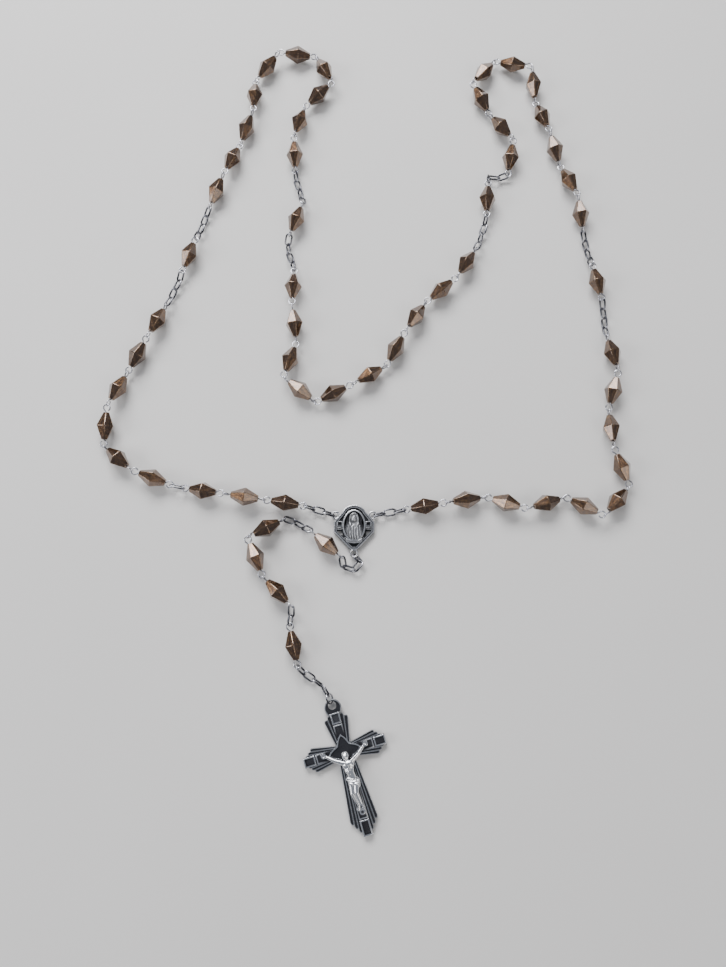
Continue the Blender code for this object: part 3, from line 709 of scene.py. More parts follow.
def link_mesh(reach_in, reach_out):
    """A link whose wire's inner sides are at the two reaches from its middle."""
    bend = LINK_WIDTH / 2 - LINK_WIRE + LINK_BODY / 2
    left, right = reach_in + LINK_BODY / 2 - bend, reach_out + LINK_BODY / 2 - bend
    path = arc(right, bend, -90, 90, 8) + arc(-left, bend, 90, 270, 8)
    work = bmesh.new()
    bend_wire(work, path, LINK_BODY, closed=True)
    return mesh_from(work, "link")


def ring_mesh(width, thickness, cut=0.0, steps=28):
    """A round ring. A jump ring has a fine cut where it was closed with pliers."""
    work = bmesh.new()
    path = arc(0, (width - thickness) / 2, cut, 360 - cut, steps)
    bend_wire(work, path if cut else path[:-1], thickness, sides=10, closed=not cut)
    return mesh_from(work, "ring")


def eye_path(neck):
    """From inside the bead out along the neck and round the eye, with X pointing outwards."""
    radius = EYE_WIDTH / 2
    round_eye = arc(neck + radius, radius, EYE_FROM, EYE_TO, 14)
    return [Vector((NECK_START, 0, 0)), Vector((NECK_MOUTH, 0, 0)), *round_eye]


def bead_wire_mesh(eye_in, eye_out, neck_in, neck_out):
    """One wire through a bead, from the end of one eye to the end of the other."""
    path = [eye_in @ point for point in reversed(eye_path(neck_in))]
    path += [eye_out @ point for point in eye_path(neck_out)]
    work = bmesh.new()
    bend_wire(work, path, WIRE)
    return mesh_from(work, "bead_wire")


print(f"a link has {len(link_mesh(LINK_LENGTH / 2, LINK_LENGTH / 2).polygons)} faces")

# %% [markdown]
# Each piece is named for its place: the decade and the bead's number in it, or the chain and the
# number of the link. The names come from the plan, so that no list of them has to be kept.

# %% Names of the pieces


def names_for(body, count):
    """The name of the piece at this place in its moving length."""
    if "beads" in body or "_bead_" in body and body.startswith("decade"):
        words = body.split("_")
        number = int(words[3]) + count
        return f"decade_{words[1]}_faceted_bead_{number}", f"decade_{words[1]}_wire_{number}"
    if "pin" in body:
        base = body.replace("pin", "our_father") if "pendant" in body else body.replace("_pin", "")
        return f"{base}_faceted_bead", f"{base}_bent_wire"
    if body.startswith("pendant_bead"):
        return f"{body}_faceted", f"{body}_wire"
    return None, f"{body}_link_{count + 1}"


print("the first bead is", *names_for("decade_1_beads_1_2", 0))

# %% [markdown]
# All wires share one finish, brightest where they stick out: partly wear and partly a painted
# highlight.
# A bead's two eyes are bent a little towards the neighbours that they hold, as pliers leave them, so
# the strand can take a sharp bend.

# %% Wires and the eyes at their ends


def wire_wear_and_highlight(reach, base=0.36):
    """Wire is bright at the outer bends of its eyes and more on one side than on the other: partly
    wear, partly a painted highlight.
    """
    return lambda point: (base + 0.4 * (abs(point.x) / reach) ** 3
                          + 0.22 * math.sin(point.y * 3 + point.x))


def lay_wire(name, mesh, place, body, polish):
    lay_piece(name, mesh, place, wire_finish, body, [body], "silver_wire", polish, angle=60)


def eyes_of_bead(kind, crossings, place, roll, before, after):
    """Where a bead's two eyes begin. The eyes of a bead on a pin stay straight."""
    start, end = crossings[place], crossings[place + 1]
    around = crossings[max(place - 1, 0):place + 3]
    ways = [(far - near).normalized() for near, far in zip(around, around[1:])]
    own = (end - start).normalized()
    straight = kind == DRILLED
    lean_in, lean_out = (own if straight else leaned(own, way) for way in (ways[0], ways[-1]))
    reach = BEAD_LENGTH / 2
    return (frame_between(start + lean_in * before, start, roll, reach),
            frame_between(end - lean_out * after, end, roll, reach))


print("wires are polished and their eyes are aimed")

# %% [markdown]
# Now the strand is strung, place by place. The single beads between the decades are drilled wider and
# turn freely on their own pins. Links don't lie quite flat or upright, so they are rolled a little.

# %% Stringing the strand
# Each wire's wear and painted highlight grow towards its outer bend, at this reach from its middle.
BEAD_WIRE_REACH, RING_REACH, LINK_REACH = 6.5, 1.8, 2.2  # middle to outer bend, for the polish
LINK_LOLL = Matrix.Rotation(math.radians(30), 4, "X")
FACET_TURN, TONE_STEP = 0.38, 0.618  # neighbours differ by these shares of a facet and of the tone


def string_strand(plan, pieces, crossings, rolls):
    places = iter(range(len(pieces)))
    for body, kinds in plan:
        for count, kind in enumerate(kinds):
            place = next(places)
            start, end, roll = crossings[place], crossings[place + 1], rolls[place]
            _, _, before, after = pieces[place]
            ends = (count == 0, count == len(kinds) - 1)
            middle = frame_between(start, end, roll, before)
            bead_name, wire_name = names_for(body, count)
            if kind in (BEAD, DRILLED):
                flat = middle.inverted()
                eyes = [flat @ eye for eye in
                        eyes_of_bead(kind, crossings, place, roll, before, after)]
                necks = [EYE_NECK + (0 if at_joint else HOLD / 2) for at_joint in ends]
                lay_wire(wire_name, bead_wire_mesh(*eyes, *necks), middle, body,
                         wire_wear_and_highlight(BEAD_WIRE_REACH))
                node = body
                if kind == DRILLED:
                    node = body.replace("pin", "bead" if "father" in body else "our_father_bead")
                facet_roll = math.tau / BEAD_SIDES * (place * FACET_TURN % 1)
                lay_piece(bead_name, bead_mesh(place * TONE_STEP % 1),
                          frame_between(start, end, facet_roll, before), bead_finish,
                          node, [node], "bronze_beads", angle=0)
            elif kind == RING:
                lay_wire("crucifix_jump_ring", ring_mesh(RING_WIDTH, RING_WIRE, cut=0.8), middle,
                         body, wire_wear_and_highlight(RING_REACH))
            else:
                play_in, play_out = (CLEARANCE / 2 if at_joint else 0 for at_joint in ends)
                name = "repair_long_link" if kind == REPAIR else wire_name
                lay_wire(name, link_mesh(before + play_in, after + play_out),
                         middle @ LINK_LOLL, body, wire_wear_and_highlight(LINK_REACH, base=0.24))
    return len(pieces)


strung = string_strand(loop_plan(), loop_pieces, loop_crossings, loop_rolls)
strung += string_strand(pendant_plan(), pendant_pieces, pendant_crossings, pendant_rolls)
print(f"{strung} places on the strand are filled")

# %% [markdown]
# ## The centre medal
#
# Three strands meet at a small cast medal with an arched top and a pointed foot. Its edge is a double
# rim with a dark groove between. We draw the outline once, pull it up into a plate, and then step
# inwards again and again, each time moving the middle up or down. That is how a die cuts such rims.

# %% Stepping a face inwards


def flat_plate(outline, bottom, top, steps=(), soften=0.1):
    """A plate from an outline in millimetres. Each step is how far in it goes and how far up."""
    work = bmesh.new()
    corners = [work.verts.new((x * MM, y * MM, bottom * MM)) for x, y in outline]
    back = work.faces.new(corners)
    back.normal_update()
    if back.normal.z < 0:
        back.normal_flip()
    grown = bmesh.ops.extrude_face_region(work, geom=[back])["geom"]
    bmesh.ops.translate(work, verts=verts_in(grown), vec=(0, 0, (top - bottom) * MM))
    face = next(part for part in grown if isinstance(part, bmesh.types.BMFace))
    if soften:
        bmesh.ops.bevel(work, geom=list(face.edges), offset=soften * MM, offset_type="OFFSET",
                        segments=2, profile=0.5, affect="EDGES", material=-1)
        face = max(work.faces, key=lambda f: f.calc_center_median().z + f.calc_area() * 10)
    for inset, rise in steps:
        bmesh.ops.inset_region(work, faces=[face], thickness=inset * MM, use_even_offset=True)
        bmesh.ops.translate(work, verts=list(face.verts), vec=(0, 0, rise * MM))
    return work


print("a plate can be stepped")

# %% [markdown]
# Cast pieces are joined from several plates that sink into each other. A hole is cut with a Boolean,
# and before the joining, because the cut needs one clean closed shape to work on.

# %% Joining and carving shapes


def joined(parts):
    """One bmesh out of several, for shapes that were cast as one."""
    whole = bmesh.new()
    for part in parts:
        mesh = turned_out(part, "part")
        whole.from_mesh(mesh)
        bpy.data.meshes.remove(mesh)
    return whole


def after_modifiers(worked):
    """The mesh that an object's modifiers make, for a helper object that is then removed."""
    graph = bpy.context.evaluated_depsgraph_get()
    result = bpy.data.meshes.new_from_object(worked.evaluated_get(graph))
    bpy.data.objects.remove(worked, do_unlink=True)
    return result


def carved(work, cutters):
    """The shape with holes cut through it."""
    blank = in_scene("blank", turned_out(work, "blank"))
    helpers = [in_scene("cutter", turned_out(cutter, "cutter")) for cutter in cutters]
    for helper in helpers:
        cut = blank.modifiers.new("cut", "BOOLEAN")
        cut.operation, cut.solver, cut.object = "DIFFERENCE", "EXACT", helper
    whole = bmesh.new()
    whole.from_mesh(after_modifiers(blank))
    for helper in helpers:
        bpy.data.objects.remove(helper, do_unlink=True)
    return whole


def block(x0, x1, y0, y1, bottom, top, **how):
    return flat_plate([(x0, y0), (x1, y0), (x1, y1), (x0, y1)], bottom, top, **how)


def mirrored(outline, sign):
    return [(sign * x, y) for x, y in outline]


def round_outline(x, y, radius, steps):
    turns = [math.tau * step / steps for step in range(steps)]
    return [(x + radius * math.cos(turn), y + radius * math.sin(turn)) for turn in turns]


print("shapes can be joined and carved")

# %% [markdown]
# Beside the oval the medal is pierced: a small square window with a raised frame on each side, short
# bars under it and a longer slot low down. Real piercing goes right through, so these are cut.

# %% The medal's plate and its windows
MEDAL_HALF, MEDAL_TOP, MEDAL_BOTTOM, MEDAL_THICK = 6.35, 7.2, 6.9, 1.4
ARCH_END, STRAIGHT_SIDE, FOOT_HALF = (3.7, 4.9), (1.7, -1.3), 1.0
DOUBLE_RIM = [(0.28, 0), (0.05, -0.42), (0.16, 0), (0.05, 0.34), (0.2, 0), (0.05, -0.55)]


def medal_outline(steps=12):
    rise = MEDAL_TOP - ARCH_END[1]
    radius = (ARCH_END[0] ** 2 + rise ** 2) / (2 * rise)
    sweep = math.asin(ARCH_END[0] / radius)
    outline = []
    for step in range(-steps, steps + 1):
        angle = sweep * step / steps
        outline.append((radius * math.sin(angle), MEDAL_TOP - radius + radius * math.cos(angle)))
    right = [(MEDAL_HALF, y) for y in STRAIGHT_SIDE] + [(FOOT_HALF, -MEDAL_BOTTOM)]
    return outline + right + mirrored(reversed(right), -1)


def rubbed_above(low, depth):
    """Polish that grows from nothing at one height to full a little higher up."""
    return lambda point: (point.z - low) / depth


def lay_medal(name, mesh, polish, angle=35, place=Matrix()):
    lay_piece(name, mesh, place, medal_finish, "centre_medal", ["centre_medal"], "medal_silver",
              polish, angle)


plate = flat_plate(medal_outline(), 0.0, MEDAL_THICK, DOUBLE_RIM)
holes, bars = [], []
for sign in (-1, 1):
    for outline in ([(3.85, 1.75), (5.1, 1.75), (5.1, 0.55), (3.85, 0.55)],
                    [(3.8, -0.95), (5.2, -0.95), (4.75, -1.9), (3.6, -2.4)]):
        holes.append(flat_plate(mirrored(outline, sign), -1, 3, soften=0))
    window = [(3.6, 2.05), (5.35, 2.05), (5.35, 0.3), (3.6, 0.3)]
    bars.append(flat_plate(mirrored(window, sign), 0.5, 1.25, [(0.2, 0), (0.03, -0.6)], soften=0.06))
    for height in (-0.05, -0.5):
        high, low = height + 0.13, height - 0.13
        bar = [(3.6, high), (5.4, high), (5.4, low), (3.6, low)]
        bars.append(flat_plate(mirrored(bar, sign), 0.5, 1.1, soften=0.05))
medal_plate = joined([carved(plate, holes), *bars])
lay_medal("medal_pierced_plate", mesh_from(medal_plate, "medal_plate"), rubbed_above(0.86, 0.5))
print("the plate is pierced four times")

# %% [markdown]
# The oval holds a small veiled figure in low relief. A relief is a height for every place. Two simple
# rules are enough to draw with: a stroke lifts a soft ridge along a line, and a mound lifts an oval.

# %% Strokes and mounds


def stroke_height(x, y, path, width, height):
    """How much a ridge along a path lifts this place."""
    best = 1e9
    for (x0, y0), (x1, y1) in zip(path, path[1:]):
        run, lift = x1 - x0, y1 - y0
        share = min(max(((x - x0) * run + (y - y0) * lift) / (run * run + lift * lift), 0), 1)
        best = min(best, math.hypot(x - x0 - share * run, y - y0 - share * lift))
    return height * math.exp(-(best / width) ** 2)


def mound_height(x, y, centre, size, height):
    away = ((x - centre[0]) / size[0]) ** 2 + ((y - centre[1]) / size[1]) ** 2
    return height * math.sqrt(max(1 - away, 0))


print(f"a stroke's middle is lifted by {stroke_height(0, 0, [(-1, 0), (1, 0)], 1, 1):.0f}")

# %% [markdown]
# A fine grid is pressed up by mounds for the mantle and the shoulders and then by strokes along the
# hood and the folds. The face is small, calm and plain: brow, nose, closed eyes and a mouth.

# %% The veiled figure in relief
OVAL_CENTRE, OVAL_HALF = 0.6, (3.6, 5.0)
HOOD = [(-1.3, 0.6), (-1.45, 2.2), (-0.95, 3.55), (0, 4.05), (0.95, 3.55), (1.45, 2.2), (1.3, 0.6)]
MANTLE = [((0.0, -1.7), (3.15, 3.7), 0.5), ((0.0, 2.3), (1.75, 2.2), 0.42),
          ((-1.3, -0.2), (1.2, 1.5), 0.25), ((1.3, -0.2), (1.2, 1.5), 0.22)]
FOLDS = [([(-1.0, 0.6), (-1.25, -1.2), (-1.0, -4.2)], 0.17, 0.34),
         ([(-1.7, -0.2), (-2.1, -2.0), (-1.9, -3.6)], 0.16, 0.2),
         ([(-0.35, -0.6), (-0.5, -2.4), (-0.25, -4.3)], 0.15, 0.2),
         ([(0.35, -0.7), (0.35, -2.6), (0.55, -4.3)], 0.15, 0.18),
         ([(1.0, 0.4), (1.2, -1.5), (1.25, -4.0)], 0.17, 0.24),
         ([(1.8, -0.2), (2.05, -1.8), (1.95, -3.3)], 0.17, 0.16),
         ([(-0.7, -0.6), (0.0, 0.15), (0.7, -0.6)], 0.2, 0.16)]
FACE = [([(0, 2.75), (0, 2.2)], 0.1, 0.13), ([(-0.38, 2.78), (0.38, 2.78)], 0.11, 0.07),
        ([(-0.38, 2.5), (-0.2, 2.5)], 0.08, -0.07), ([(0.2, 2.5), (0.38, 2.5)], 0.08, -0.07),
        ([(-0.13, 1.93), (0.13, 1.93)], 0.06, -0.06), ([(-0.05, 1.65), (0.05, 1.65)], 0.14, 0.06)]


RELIEF_FIELD, RELIEF_BACK = 1.15, 0.6


def relief_height(x, y):
    height = RELIEF_FIELD + max(mound_height(x, y, *mound) for mound in MANTLE)
    height += stroke_height(x, y, HOOD, 0.3, 0.3)
    height += mound_height(x, y, (0, 2.25), (0.72, 0.98), 0.24)
    height += max(stroke_height(x, y, *fold) for fold in FOLDS)
    return height + sum(stroke_height(x, y, *mark) for mark in FACE)


def pressed_relief(half_width, half_length, columns, rows):
    work = bmesh.new()
    bmesh.ops.create_grid(work, x_segments=columns, y_segments=rows, size=1)
    bmesh.ops.scale(work, vec=(half_width * MM, half_length * MM, 1), verts=work.verts)
    outside = [v for v in work.verts
               if (v.co.x / half_width) ** 2 + (v.co.y / half_length) ** 2 > MM ** 2]
    bmesh.ops.delete(work, geom=outside, context="VERTS")
    for vertex in work.verts:
        x, y = vertex.co.x / MM, vertex.co.y / MM
        vertex.co.z = relief_height(x, y) * MM
        vertex.co.y += OVAL_CENTRE * MM
    rim = [edge for edge in work.edges if edge.is_boundary]
    for vertex in verts_in(bmesh.ops.extrude_edge_only(work, edges=rim)["geom"]):
        vertex.co.z = RELIEF_BACK * MM
    bmesh.ops.holes_fill(work, edges=[e for e in work.edges if e.is_boundary], sides=0)
    return work


RELIEF_HALF, RELIEF_GRID = (3.3, 4.7), (58, 82)
relief = mesh_from(pressed_relief(*RELIEF_HALF, *RELIEF_GRID), "medal_relief")
lay_medal("medal_veiled_figure", relief, rubbed_above(1.3, 0.72), angle=70)
print(f"the relief has {len(relief.polygons)} faces")

# %% [markdown]
# An oval rim holds the relief, a folded ribbon lies across its foot, and three thick rings stand at
# the medal's corners for the strands. The ribbon is bare, with no words on it.

# %% Oval rim, ribbon and rings
oval = [(OVAL_HALF[0] * math.sin(math.tau * step / 48),
         OVAL_CENTRE + OVAL_HALF[1] * math.cos(math.tau * step / 48)) for step in range(48)]
oval_rim = flat_plate(oval, 0.3, 1.9, [(0.34, 0), (0.06, -0.75)], soften=0.12)
ribbon = [flat_plate([(-2.6, -4.15), (-1.9, -4.75), (0, -5.05), (1.9, -4.75), (2.6, -4.15),
                      (2.35, -3.35), (1.7, -3.9), (0, -4.2), (-1.7, -3.9), (-2.35, -3.35)],
                     0.6, 1.85, [(0.16, 0), (0.04, -0.18)], soften=0.08)]
curl = [(2.2, -3.4), (2.9, -3.0), (3.15, -3.5), (2.8, -4.1), (2.4, -4.1)]
for sign in (-1, 1):
    ribbon.append(flat_plate(mirrored(curl, sign), 0.5, 1.55, [(0.14, 0), (0.04, -0.15)],
                             soften=0.08))
medal_frame = mesh_from(joined([oval_rim, *ribbon]), "medal_oval_rim")
lay_medal("medal_oval_rim_and_ribbon", medal_frame, rubbed_above(1.3, 0.6))
# The rings' wire is brighter on top than underneath: a painted highlight.
for side, x, y in (("right", SIDE_EYE.x, SIDE_EYE.y), ("left", -SIDE_EYE.x, SIDE_EYE.y),
                   ("bottom", 0, -BOTTOM_EYE)):
    lay_medal(f"medal_{side}_ring", ring_mesh(MEDAL_EYE_WIDTH + MEDAL_EYE_WIRE, MEDAL_EYE_WIRE),
              lambda p: 0.55 + p.z * 1.6, 60, Matrix.Translation((x, y, MEDAL_EYE_HEIGHT)))
print("the medal has three rings")

# %% [markdown]
# ## The crucifix
#
# The cross is cast with fans of stepped rays between its bars. Each ray is a long taper that starts
# near the crossing and ends in a step. A ray is a narrow plate whose top is sunk inside a fine rim,
# so that the rim catches the light and the groove in it stays dark.

# %% Frames and rays of the cross
CROSS_TOP, CROSS_BOTTOM, CROSS_ARM, BAR_HALF = 15.4, 24.3, 12.5, 1.4
CAP_LENGTH, CAP_HALF, CAP_EDGE, CAP_HOLE = 4.4, 2.6, 0.6, 2.5
CROSS_TURN = math.radians(16.6)
RAY_ROOT, RAY_HEIGHT, RAY_RIM = 1.2, 1.3, [(0.12, 0.0), (0.05, -0.26)]
hang_point = pendant_crossings[-1]
hang_in_cross = Vector((0, (CROSS_TOP - CAP_EDGE) * MM - CLEARANCE / 2, 0))
cross_frame = (Matrix.Translation((hang_point.x, hang_point.y, 0))
               @ Matrix.Rotation(CROSS_TURN, 4, "Z") @ Matrix.Translation(-hang_in_cross))


def turned_outline(outline, turns):
    quarter = Matrix.Rotation(turns * math.pi / 2, 2)
    return [tuple(quarter @ Vector(point)) for point in outline]


def fan_of_rays(reach, root, spread, steps, drop, turns):
    """Rays on both sides of a bar along +Y, then turned to one of the four arms."""
    rays = []
    shares = [1 - step / (steps + 1.2) for step in range(steps)] + [2 * BAR_HALF / spread * 0.94]
    for step, (share, next_share) in enumerate(zip(shares, shares[1:])):
        far = reach - (steps - step) * drop
        outer, inner = spread / 2 * share, spread / 2 * next_share + 0.05
        for sign in (-1, 1):
            ray = [(root / 2 * next_share, RAY_ROOT), (root / 2 * share, RAY_ROOT),
                   (outer, far - drop * 0.6), (outer - spread * 0.03, far), (inner, far)]
            ray = turned_outline(mirrored(ray, sign), turns)
            height = RAY_HEIGHT - 0.03 * (steps - 1 - step)
            rays.append(flat_plate(ray, 0.0, height, RAY_RIM, soften=0))
    return rays


def lay_cast(name, mesh, node, finish, slot, polish, angle=35):
    """A piece of the crucifix, which moves as one body."""
    lay_piece(name, mesh, cross_frame, finish, "crucifix", [node], slot, polish, angle)


CROSS = ("crucifix_cross", cross_finish, "cross_dark_silver")
RIM_LEVEL, RIM_POLISH, GROOVE_POLISH = 1.18, 0.9, 0.03
rays = fan_of_rays(CROSS_BOTTOM, 4.4, 8.2, 3, 1.3, 2)
rays += fan_of_rays(CROSS_ARM, 3.6, 6.9, 3, 0.9, 1) + fan_of_rays(CROSS_ARM, 3.6, 6.9, 3, 0.9, 3)
rays += fan_of_rays(CROSS_TOP - CAP_LENGTH + 0.6, 3.8, 7.2, 2, 0.9, 0)
lay_cast("crucifix_fans_of_rays", mesh_from(joined(rays), "cross_rays"), *CROSS,
         lambda p: RIM_POLISH if p.z > RIM_LEVEL else GROOVE_POLISH, angle=25)
print(f"{len(rays)} rays")

# %% [markdown]
# Over the rays lie two crossed bars with a fine raised border. Their ends carry framed panels with a
# stamped field, and behind the figure there is a four-pointed star with hollow sides.

# %% Bars, panels and star
border = [(0.24, 0), (0.06, -0.2)]
deep_border = [(0.3, 0), (0.07, -0.38)]
bars = [block(-BAR_HALF, BAR_HALF, 4.2, 7.8, 0, 1.75, steps=border),
        block(-BAR_HALF, BAR_HALF, 8.1, 11.3, 0, 1.8, steps=deep_border),
        block(-BAR_HALF, BAR_HALF, -19.5, -4.2, 0, 1.75, steps=border),
        block(-BAR_HALF, BAR_HALF, -24.3, -19.8, 0, 1.8, steps=deep_border),
        block(-1.25, 1.25, -24, 11, 0, 1.45, soften=0.04),
        block(-12.2, 12.2, -1.25, 1.25, 0, 1.44, soften=0.04)]
for sign in (-1, 1):
    for near, far, top, how in ((4.2, 8.7, 1.75, border), (9.0, 12.5, 1.8, deep_border)):
        arm = [(near, -BAR_HALF), (far, -BAR_HALF), (far, BAR_HALF), (near, BAR_HALF)]
        bars.append(flat_plate(mirrored(arm, sign), 0, top, how))
STAR_TIP, STAR_WAIST, STAR_STEPS = 5.0, 2.75, 32
STAR_FIELD, BAR_FIELD, FIELD_TO_RIM = 1.78, 1.5, 0.3
star = []
for step in range(STAR_STEPS):
    angle = math.tau * step / STAR_STEPS
    share = abs(((step + 4) % 8) - 4) / 4
    reach = STAR_TIP * (1 - share) ** 1.5 + STAR_WAIST * (1 - (1 - share) ** 1.5)
    star.append((reach * math.sin(angle), reach * math.cos(angle)))
bars.append(flat_plate(star, 0, 2.08, [(0.26, 0), (0.06, -0.4)], soften=0.07))
lay_cast("crucifix_bars_panels_and_star", mesh_from(joined(bars), "cross_bars"), *CROSS,
         lambda p: (p.z - (STAR_FIELD if p.xy.length < STAR_TIP + 0.1 else BAR_FIELD)) / FIELD_TO_RIM)


print("the bars are cast")

# %% [markdown]
# The head of the cross is a thinner rounded cap. The ring goes through its hole, so the cap's plate is
# carved before it is laid in place.

# %% The pierced head


def cap_outline():
    neck, shoulder = CROSS_TOP - CAP_LENGTH, CROSS_TOP - CAP_LENGTH * 0.62
    outline = [(CAP_HALF * 0.8, neck), (CAP_HALF, shoulder)]
    for degrees in range(10, 90, 10):
        angle = math.radians(degrees)
        rise = (CROSS_TOP - shoulder) * math.sin(angle)
        outline.append((CAP_HALF * math.cos(angle), shoulder + rise))
    return outline + [(0, CROSS_TOP)] + mirrored(reversed(outline), -1)


hole = round_outline(0, CROSS_TOP - CAP_EDGE - CAP_HOLE / 2, CAP_HOLE / 2, 24)
cap = carved(flat_plate(cap_outline(), 0.8, 1.6, [(0.2, 0), (0.05, -0.1)], soften=0.12),
             [flat_plate(hole, 0, 3, soften=0)])
lay_cast("crucifix_pierced_head", mesh_from(cap, "cross_head"), *CROSS,
         lambda p: 0.1 + (p.z - 1.5) / 0.17)
print("the cross is cast")

# %% [markdown]
# The figure is a separate casting, nailed on. A body is not a plate, so it is built from tapered limbs
# and rounded masses that sink into each other. A voxel remesh will then melt them into one skin, and a
# little smoothing will take away the joints.

# %% The figure's masses and limbs
CHEST, LEGS, HANDS = 3.2, 2.85, 2.6


def mass(work, centre, size, tilt=0.0):
    made = bmesh.ops.create_uvsphere(work, u_segments=20, v_segments=14, radius=0.5 * MM)["verts"]
    turn = Matrix.Rotation(math.radians(tilt), 4, "Z")
    bmesh.ops.transform(work, verts=made, matrix=Matrix.Translation(Vector(centre) * MM) @ turn
                        @ Matrix.Diagonal((*size, 1)))


def limb(work, start, end, start_width, end_width):
    start, end = Vector(start) * MM, Vector(end) * MM
    along = end - start
    made = bmesh.ops.create_cone(work, cap_ends=True, segments=14, radius1=start_width / 2 * MM,
                                 radius2=end_width / 2 * MM, depth=along.length)["verts"]
    turn = along.to_track_quat("Z", "Y").to_matrix().to_4x4()
    bmesh.ops.transform(work, verts=made, matrix=Matrix.Translation((start + end) / 2) @ turn)
    for centre, width in ((start, start_width), (end, end_width)):
        ball = bmesh.ops.create_uvsphere(work, u_segments=12, v_segments=8,
                                         radius=width / 2 * MM)["verts"]
        bmesh.ops.translate(work, verts=ball, vec=centre)


body = bmesh.new()
mass(body, (-0.28, -1.25, CHEST + 0.35), (1.85, 2.3, 1.9), tilt=14)
mass(body, (-0.2, -0.9, CHEST + 0.1), (2.25, 2.3, 1.8), tilt=14)
mass(body, (0.0, -3.75, CHEST + 0.1), (3.5, 2.8, 1.8))
mass(body, (-0.15, -5.1, CHEST), (2.7, 2.8, 1.5))
mass(body, (0.15, -8.4, LEGS + 0.2), (3.1, 2.6, 1.8))
mass(body, (1.45, -9.2, LEGS + 0.2), (1.1, 3.0, 1.2), tilt=-8)
limb(body, (-0.12, -2.0, CHEST), (0, -3.2, CHEST), 1.1, 1.4)
limb(body, (-0.1, -4.8, CHEST - 0.1), (0.1, -7.8, LEGS + 0.05), 2.0, 2.4)
for sign in (-1, 1):
    elbow = (sign * 3.7, -1.5, 3.05)
    hand = (sign * 6.0, 0.35, HANDS + 0.05)
    limb(body, (sign * 1.25, -2.95, CHEST), elbow, 1.5, 1.12)
    limb(body, elbow, hand, 1.15, 0.8)
    mass(body, (sign * 6.35, 0.52, HANDS + 0.05), (1.35, 1.15, 0.62), tilt=sign * 32)
    for finger in (-0.26, 0.0, 0.26):
        knuckle, tip = (6.6, 0.65 + finger), (7.1, 0.95 + finger * 1.5)
        limb(body, (sign * knuckle[0], knuckle[1], HANDS), (sign * tip[0], tip[1], HANDS), 0.3, 0.24)
    knee = (sign * 0.6 - 0.45, -11.8, LEGS + 0.4)
    ankle = (sign * 0.4 + 0.2, -15.3, LEGS)
    limb(body, (sign * 0.72 + 0.1, -8.8, LEGS + 0.1), knee, 1.65, 1.35)
    limb(body, knee, ankle, 1.35, 0.85)
    limb(body, ankle, (sign * 0.85 + 0.25, -16.7, LEGS - 0.1), 0.9, 0.66)
mass(body, (-1.2, -7.5, LEGS + 0.45), (1.25, 1.2, 0.9))
body_mesh = mesh_from(body, "figure")
print(f"{len(body_mesh.polygons)} faces before melting")

# %% [markdown]
# The remesh is fine enough to keep the fingers. Each mark is a stroke with its width and its height,
# above zero for a fold or a lock of hair and below zero for a groove. The face is plain and calm.

# %% Melting the masses into one skin
VOXEL = 0.09 * MM
melted = in_scene("melted", body_mesh)
melt = melted.modifiers.new("melt", "REMESH")
melt.mode, melt.voxel_size = "VOXEL", VOXEL
soften = melted.modifiers.new("soften", "SMOOTH")
soften.factor, soften.iterations = 0.5, 6
skin = after_modifiers(melted)

CLOTH_FOLDS = [([(-1.4, -7.2), (0, -7.9), (1.4, -8.0)], 0.13, 0.14),
               ([(-1.4, -7.9), (0, -8.6), (1.5, -8.7)], 0.13, 0.13),
               ([(-1.3, -8.7), (0.1, -9.3), (1.5, -9.4)], 0.13, 0.13),
               ([(1.0, -7.9), (1.25, -9.0), (1.3, -10.2)], 0.12, 0.16),
               ([(-1.4, -7.6), (0, -8.25), (1.4, -8.35)], 0.09, -0.1),
               ([(-1.4, -8.3), (0, -8.95), (1.5, -9.05)], 0.09, -0.1)]
RIBS = [([(-1.1, height - 0.35), (0, height), (1.1, height - 0.35)], 0.1, -0.06)
        for height in (-3.9, -4.35, -4.8, -5.25)]
BODY_LINES = [([(0, -3.2), (0, -6.8)], 0.1, -0.06),
              ([(-0.08, -6.55), (0.02, -6.55)], 0.12, -0.08),
              ([(-0.95, -3.55), (-0.15, -3.75)], 0.14, 0.06),
              ([(0.15, -3.75), (0.95, -3.55)], 0.14, 0.06)]
HAIR = [([(-0.75 + 0.18 * lock, -0.3), (-0.98 + 0.04 * lock, -1.4)], 0.06, 0.07)
        for lock in range(3)]
HAIR += [([(0.35 - 0.18 * lock, -0.25), (0.42 + 0.02 * lock, -1.3)], 0.06, 0.07)
         for lock in range(3)]
CALM_FACE = [([(-0.27, -1.0), (-0.31, -1.32)], 0.08, 0.12),
             ([(-0.6, -1.0), (0.06, -0.9)], 0.08, 0.06),
             ([(-0.55, -1.14), (-0.42, -1.12)], 0.06, -0.06),
             ([(-0.14, -1.08), (-0.02, -1.06)], 0.06, -0.06),
             ([(-0.42, -1.62), (-0.24, -1.6)], 0.05, -0.05),
             ([(-0.36, -1.95), (-0.34, -2.15)], 0.16, 0.1)]
marks = CLOTH_FOLDS + RIBS + BODY_LINES + HAIR + CALM_FACE
for vertex in skin.vertices:
    if vertex.normal.z > 0.1:
        x, y = vertex.co.x / MM, vertex.co.y / MM
        if abs(x) < 2.2 and y < 0.2:
            vertex.co.z += sum(stroke_height(x, y, *mark) for mark in marks) * vertex.normal.z * MM
FIGURE = ("crucifix_figure", figure_finish, "figure_silver")
lay_cast("crucifix_figure_casting", skin, *FIGURE, rubbed_above(2.15, 0.9), angle=0)
skin.shade_smooth()
print(f"the figure has {len(skin.polygons)} faces")

# %% [markdown]
# Three round bosses with a sunk middle stand for the nails: one in each palm and one under the feet,
# below a small block that the feet rest on. They hold the figure on the bars.

# %% Nails and bosses


def boss(x, y, radius, bottom, top, sink=0.45):
    """A disc with a raised ring round its sunk middle."""
    disc = round_outline(x, y, radius, 16)
    return flat_plate(disc, bottom, top, [(radius * 0.42, 0), (0.04, -sink)], soften=0.05)


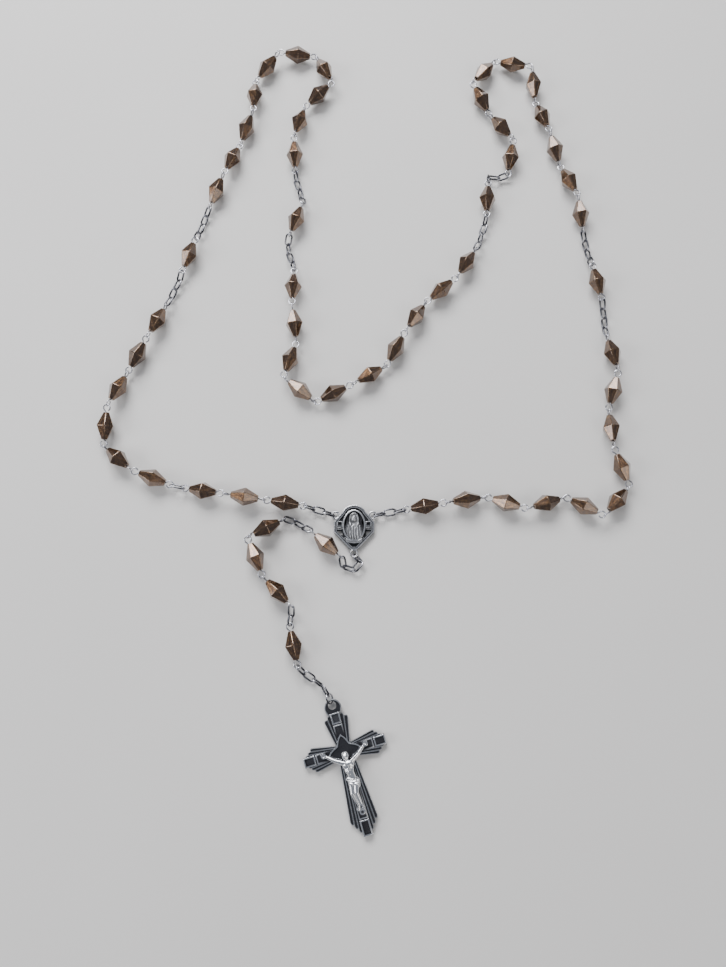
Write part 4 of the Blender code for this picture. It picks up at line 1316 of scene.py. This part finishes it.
nails = joined([boss(-6.35, 0.5, 0.8, 1.7, 3.1), boss(6.35, 0.5, 0.8, 1.7, 3.1),
                boss(0.2, -17.5, 0.85, 1.4, 2.35),
                block(-1.1, 1.3, -17.0, -16.2, 1.5, 2.4, soften=0.1)])
lay_cast("crucifix_nails", mesh_from(nails, "nails"), *FIGURE, rubbed_above(1.9, 0.4))
print("the figure is nailed on")

# %% [markdown]
# ## Table and light
#
# The rosary is looked at on a plain pale table. It is a little lower than the lowest piece, and faint
# clouds in its colour keep it from looking like paper.

# %% The table
TABLE_HALF, TABLE_DROP = 1.5, 0.12 * MM
work = bmesh.new()
bmesh.ops.create_grid(work, x_segments=1, y_segments=1, size=TABLE_HALF)
bmesh.ops.translate(work, verts=work.verts, vec=(0, 0, -TABLE_DROP))
table = in_scene("table", turned_out(work, "table"))
table_finish, table_shader, _ = start_finish("pale_table", Roughness=0.7)
tree = table_finish.node_tree
place = Flow(tree, make_node(tree, "ShaderNodeTexCoord").socket.node.outputs["Object"])
clouds = place.node("ShaderNodeTexNoise", Vector=place, Scale=9.0, Detail=2.0)
feed(tree, table_shader.inputs["Base Color"], clouds.mix((0.74, 0.72, 0.69), (0.82, 0.80, 0.77)))
table.data.materials.append(table_finish)
print(f"the table is {2 * TABLE_HALF:.0f} m across")

# %% [markdown]
# Glossy beads and metal show whatever stands round them, so one large bright panel is put beyond the
# far side, where the upper facets face it. Two weaker ones fill the shadows, and the room between them
# is kept dim for contrast.

# %% Soft panels and a dim room


def soft_panel(name, place, width, height, power, colour):
    lamp = bpy.data.lights.new(name, "AREA")
    lamp.shape, lamp.size, lamp.size_y = "RECTANGLE", width, height
    lamp.energy, lamp.color = power, colour
    panel = in_scene(name, lamp)
    panel.location = place
    panel.rotation_euler = (LIT_MIDDLE - panel.location).to_track_quat("-Z", "Y").to_euler()


LIT_MIDDLE = Vector((0, 0.05, 0))
soft_panel("far_window", (-0.22, 0.72, 0.62), 0.7, 0.42, 13.0, (0.96, 0.97, 1.0))
soft_panel("side_window", (-0.85, -0.1, 0.5), 0.5, 0.4, 4.0, (0.95, 0.96, 1.0))
soft_panel("warm_fill", (0.7, -0.6, 0.8), 0.6, 0.6, 3.0, (1.0, 0.95, 0.88))
room = bpy.data.worlds.new("dim_room")
room.use_nodes = True
background = room.node_tree.nodes["Background"]
background.inputs["Color"].default_value = (0.75, 0.8, 0.9, 1.0)
background.inputs["Strength"].default_value = 0.34
bpy.context.scene.world = room
print("three panels of light")

# %% [markdown]
# The finished pieces have to stay within the size of the measured model.

# %% Finishing
import json
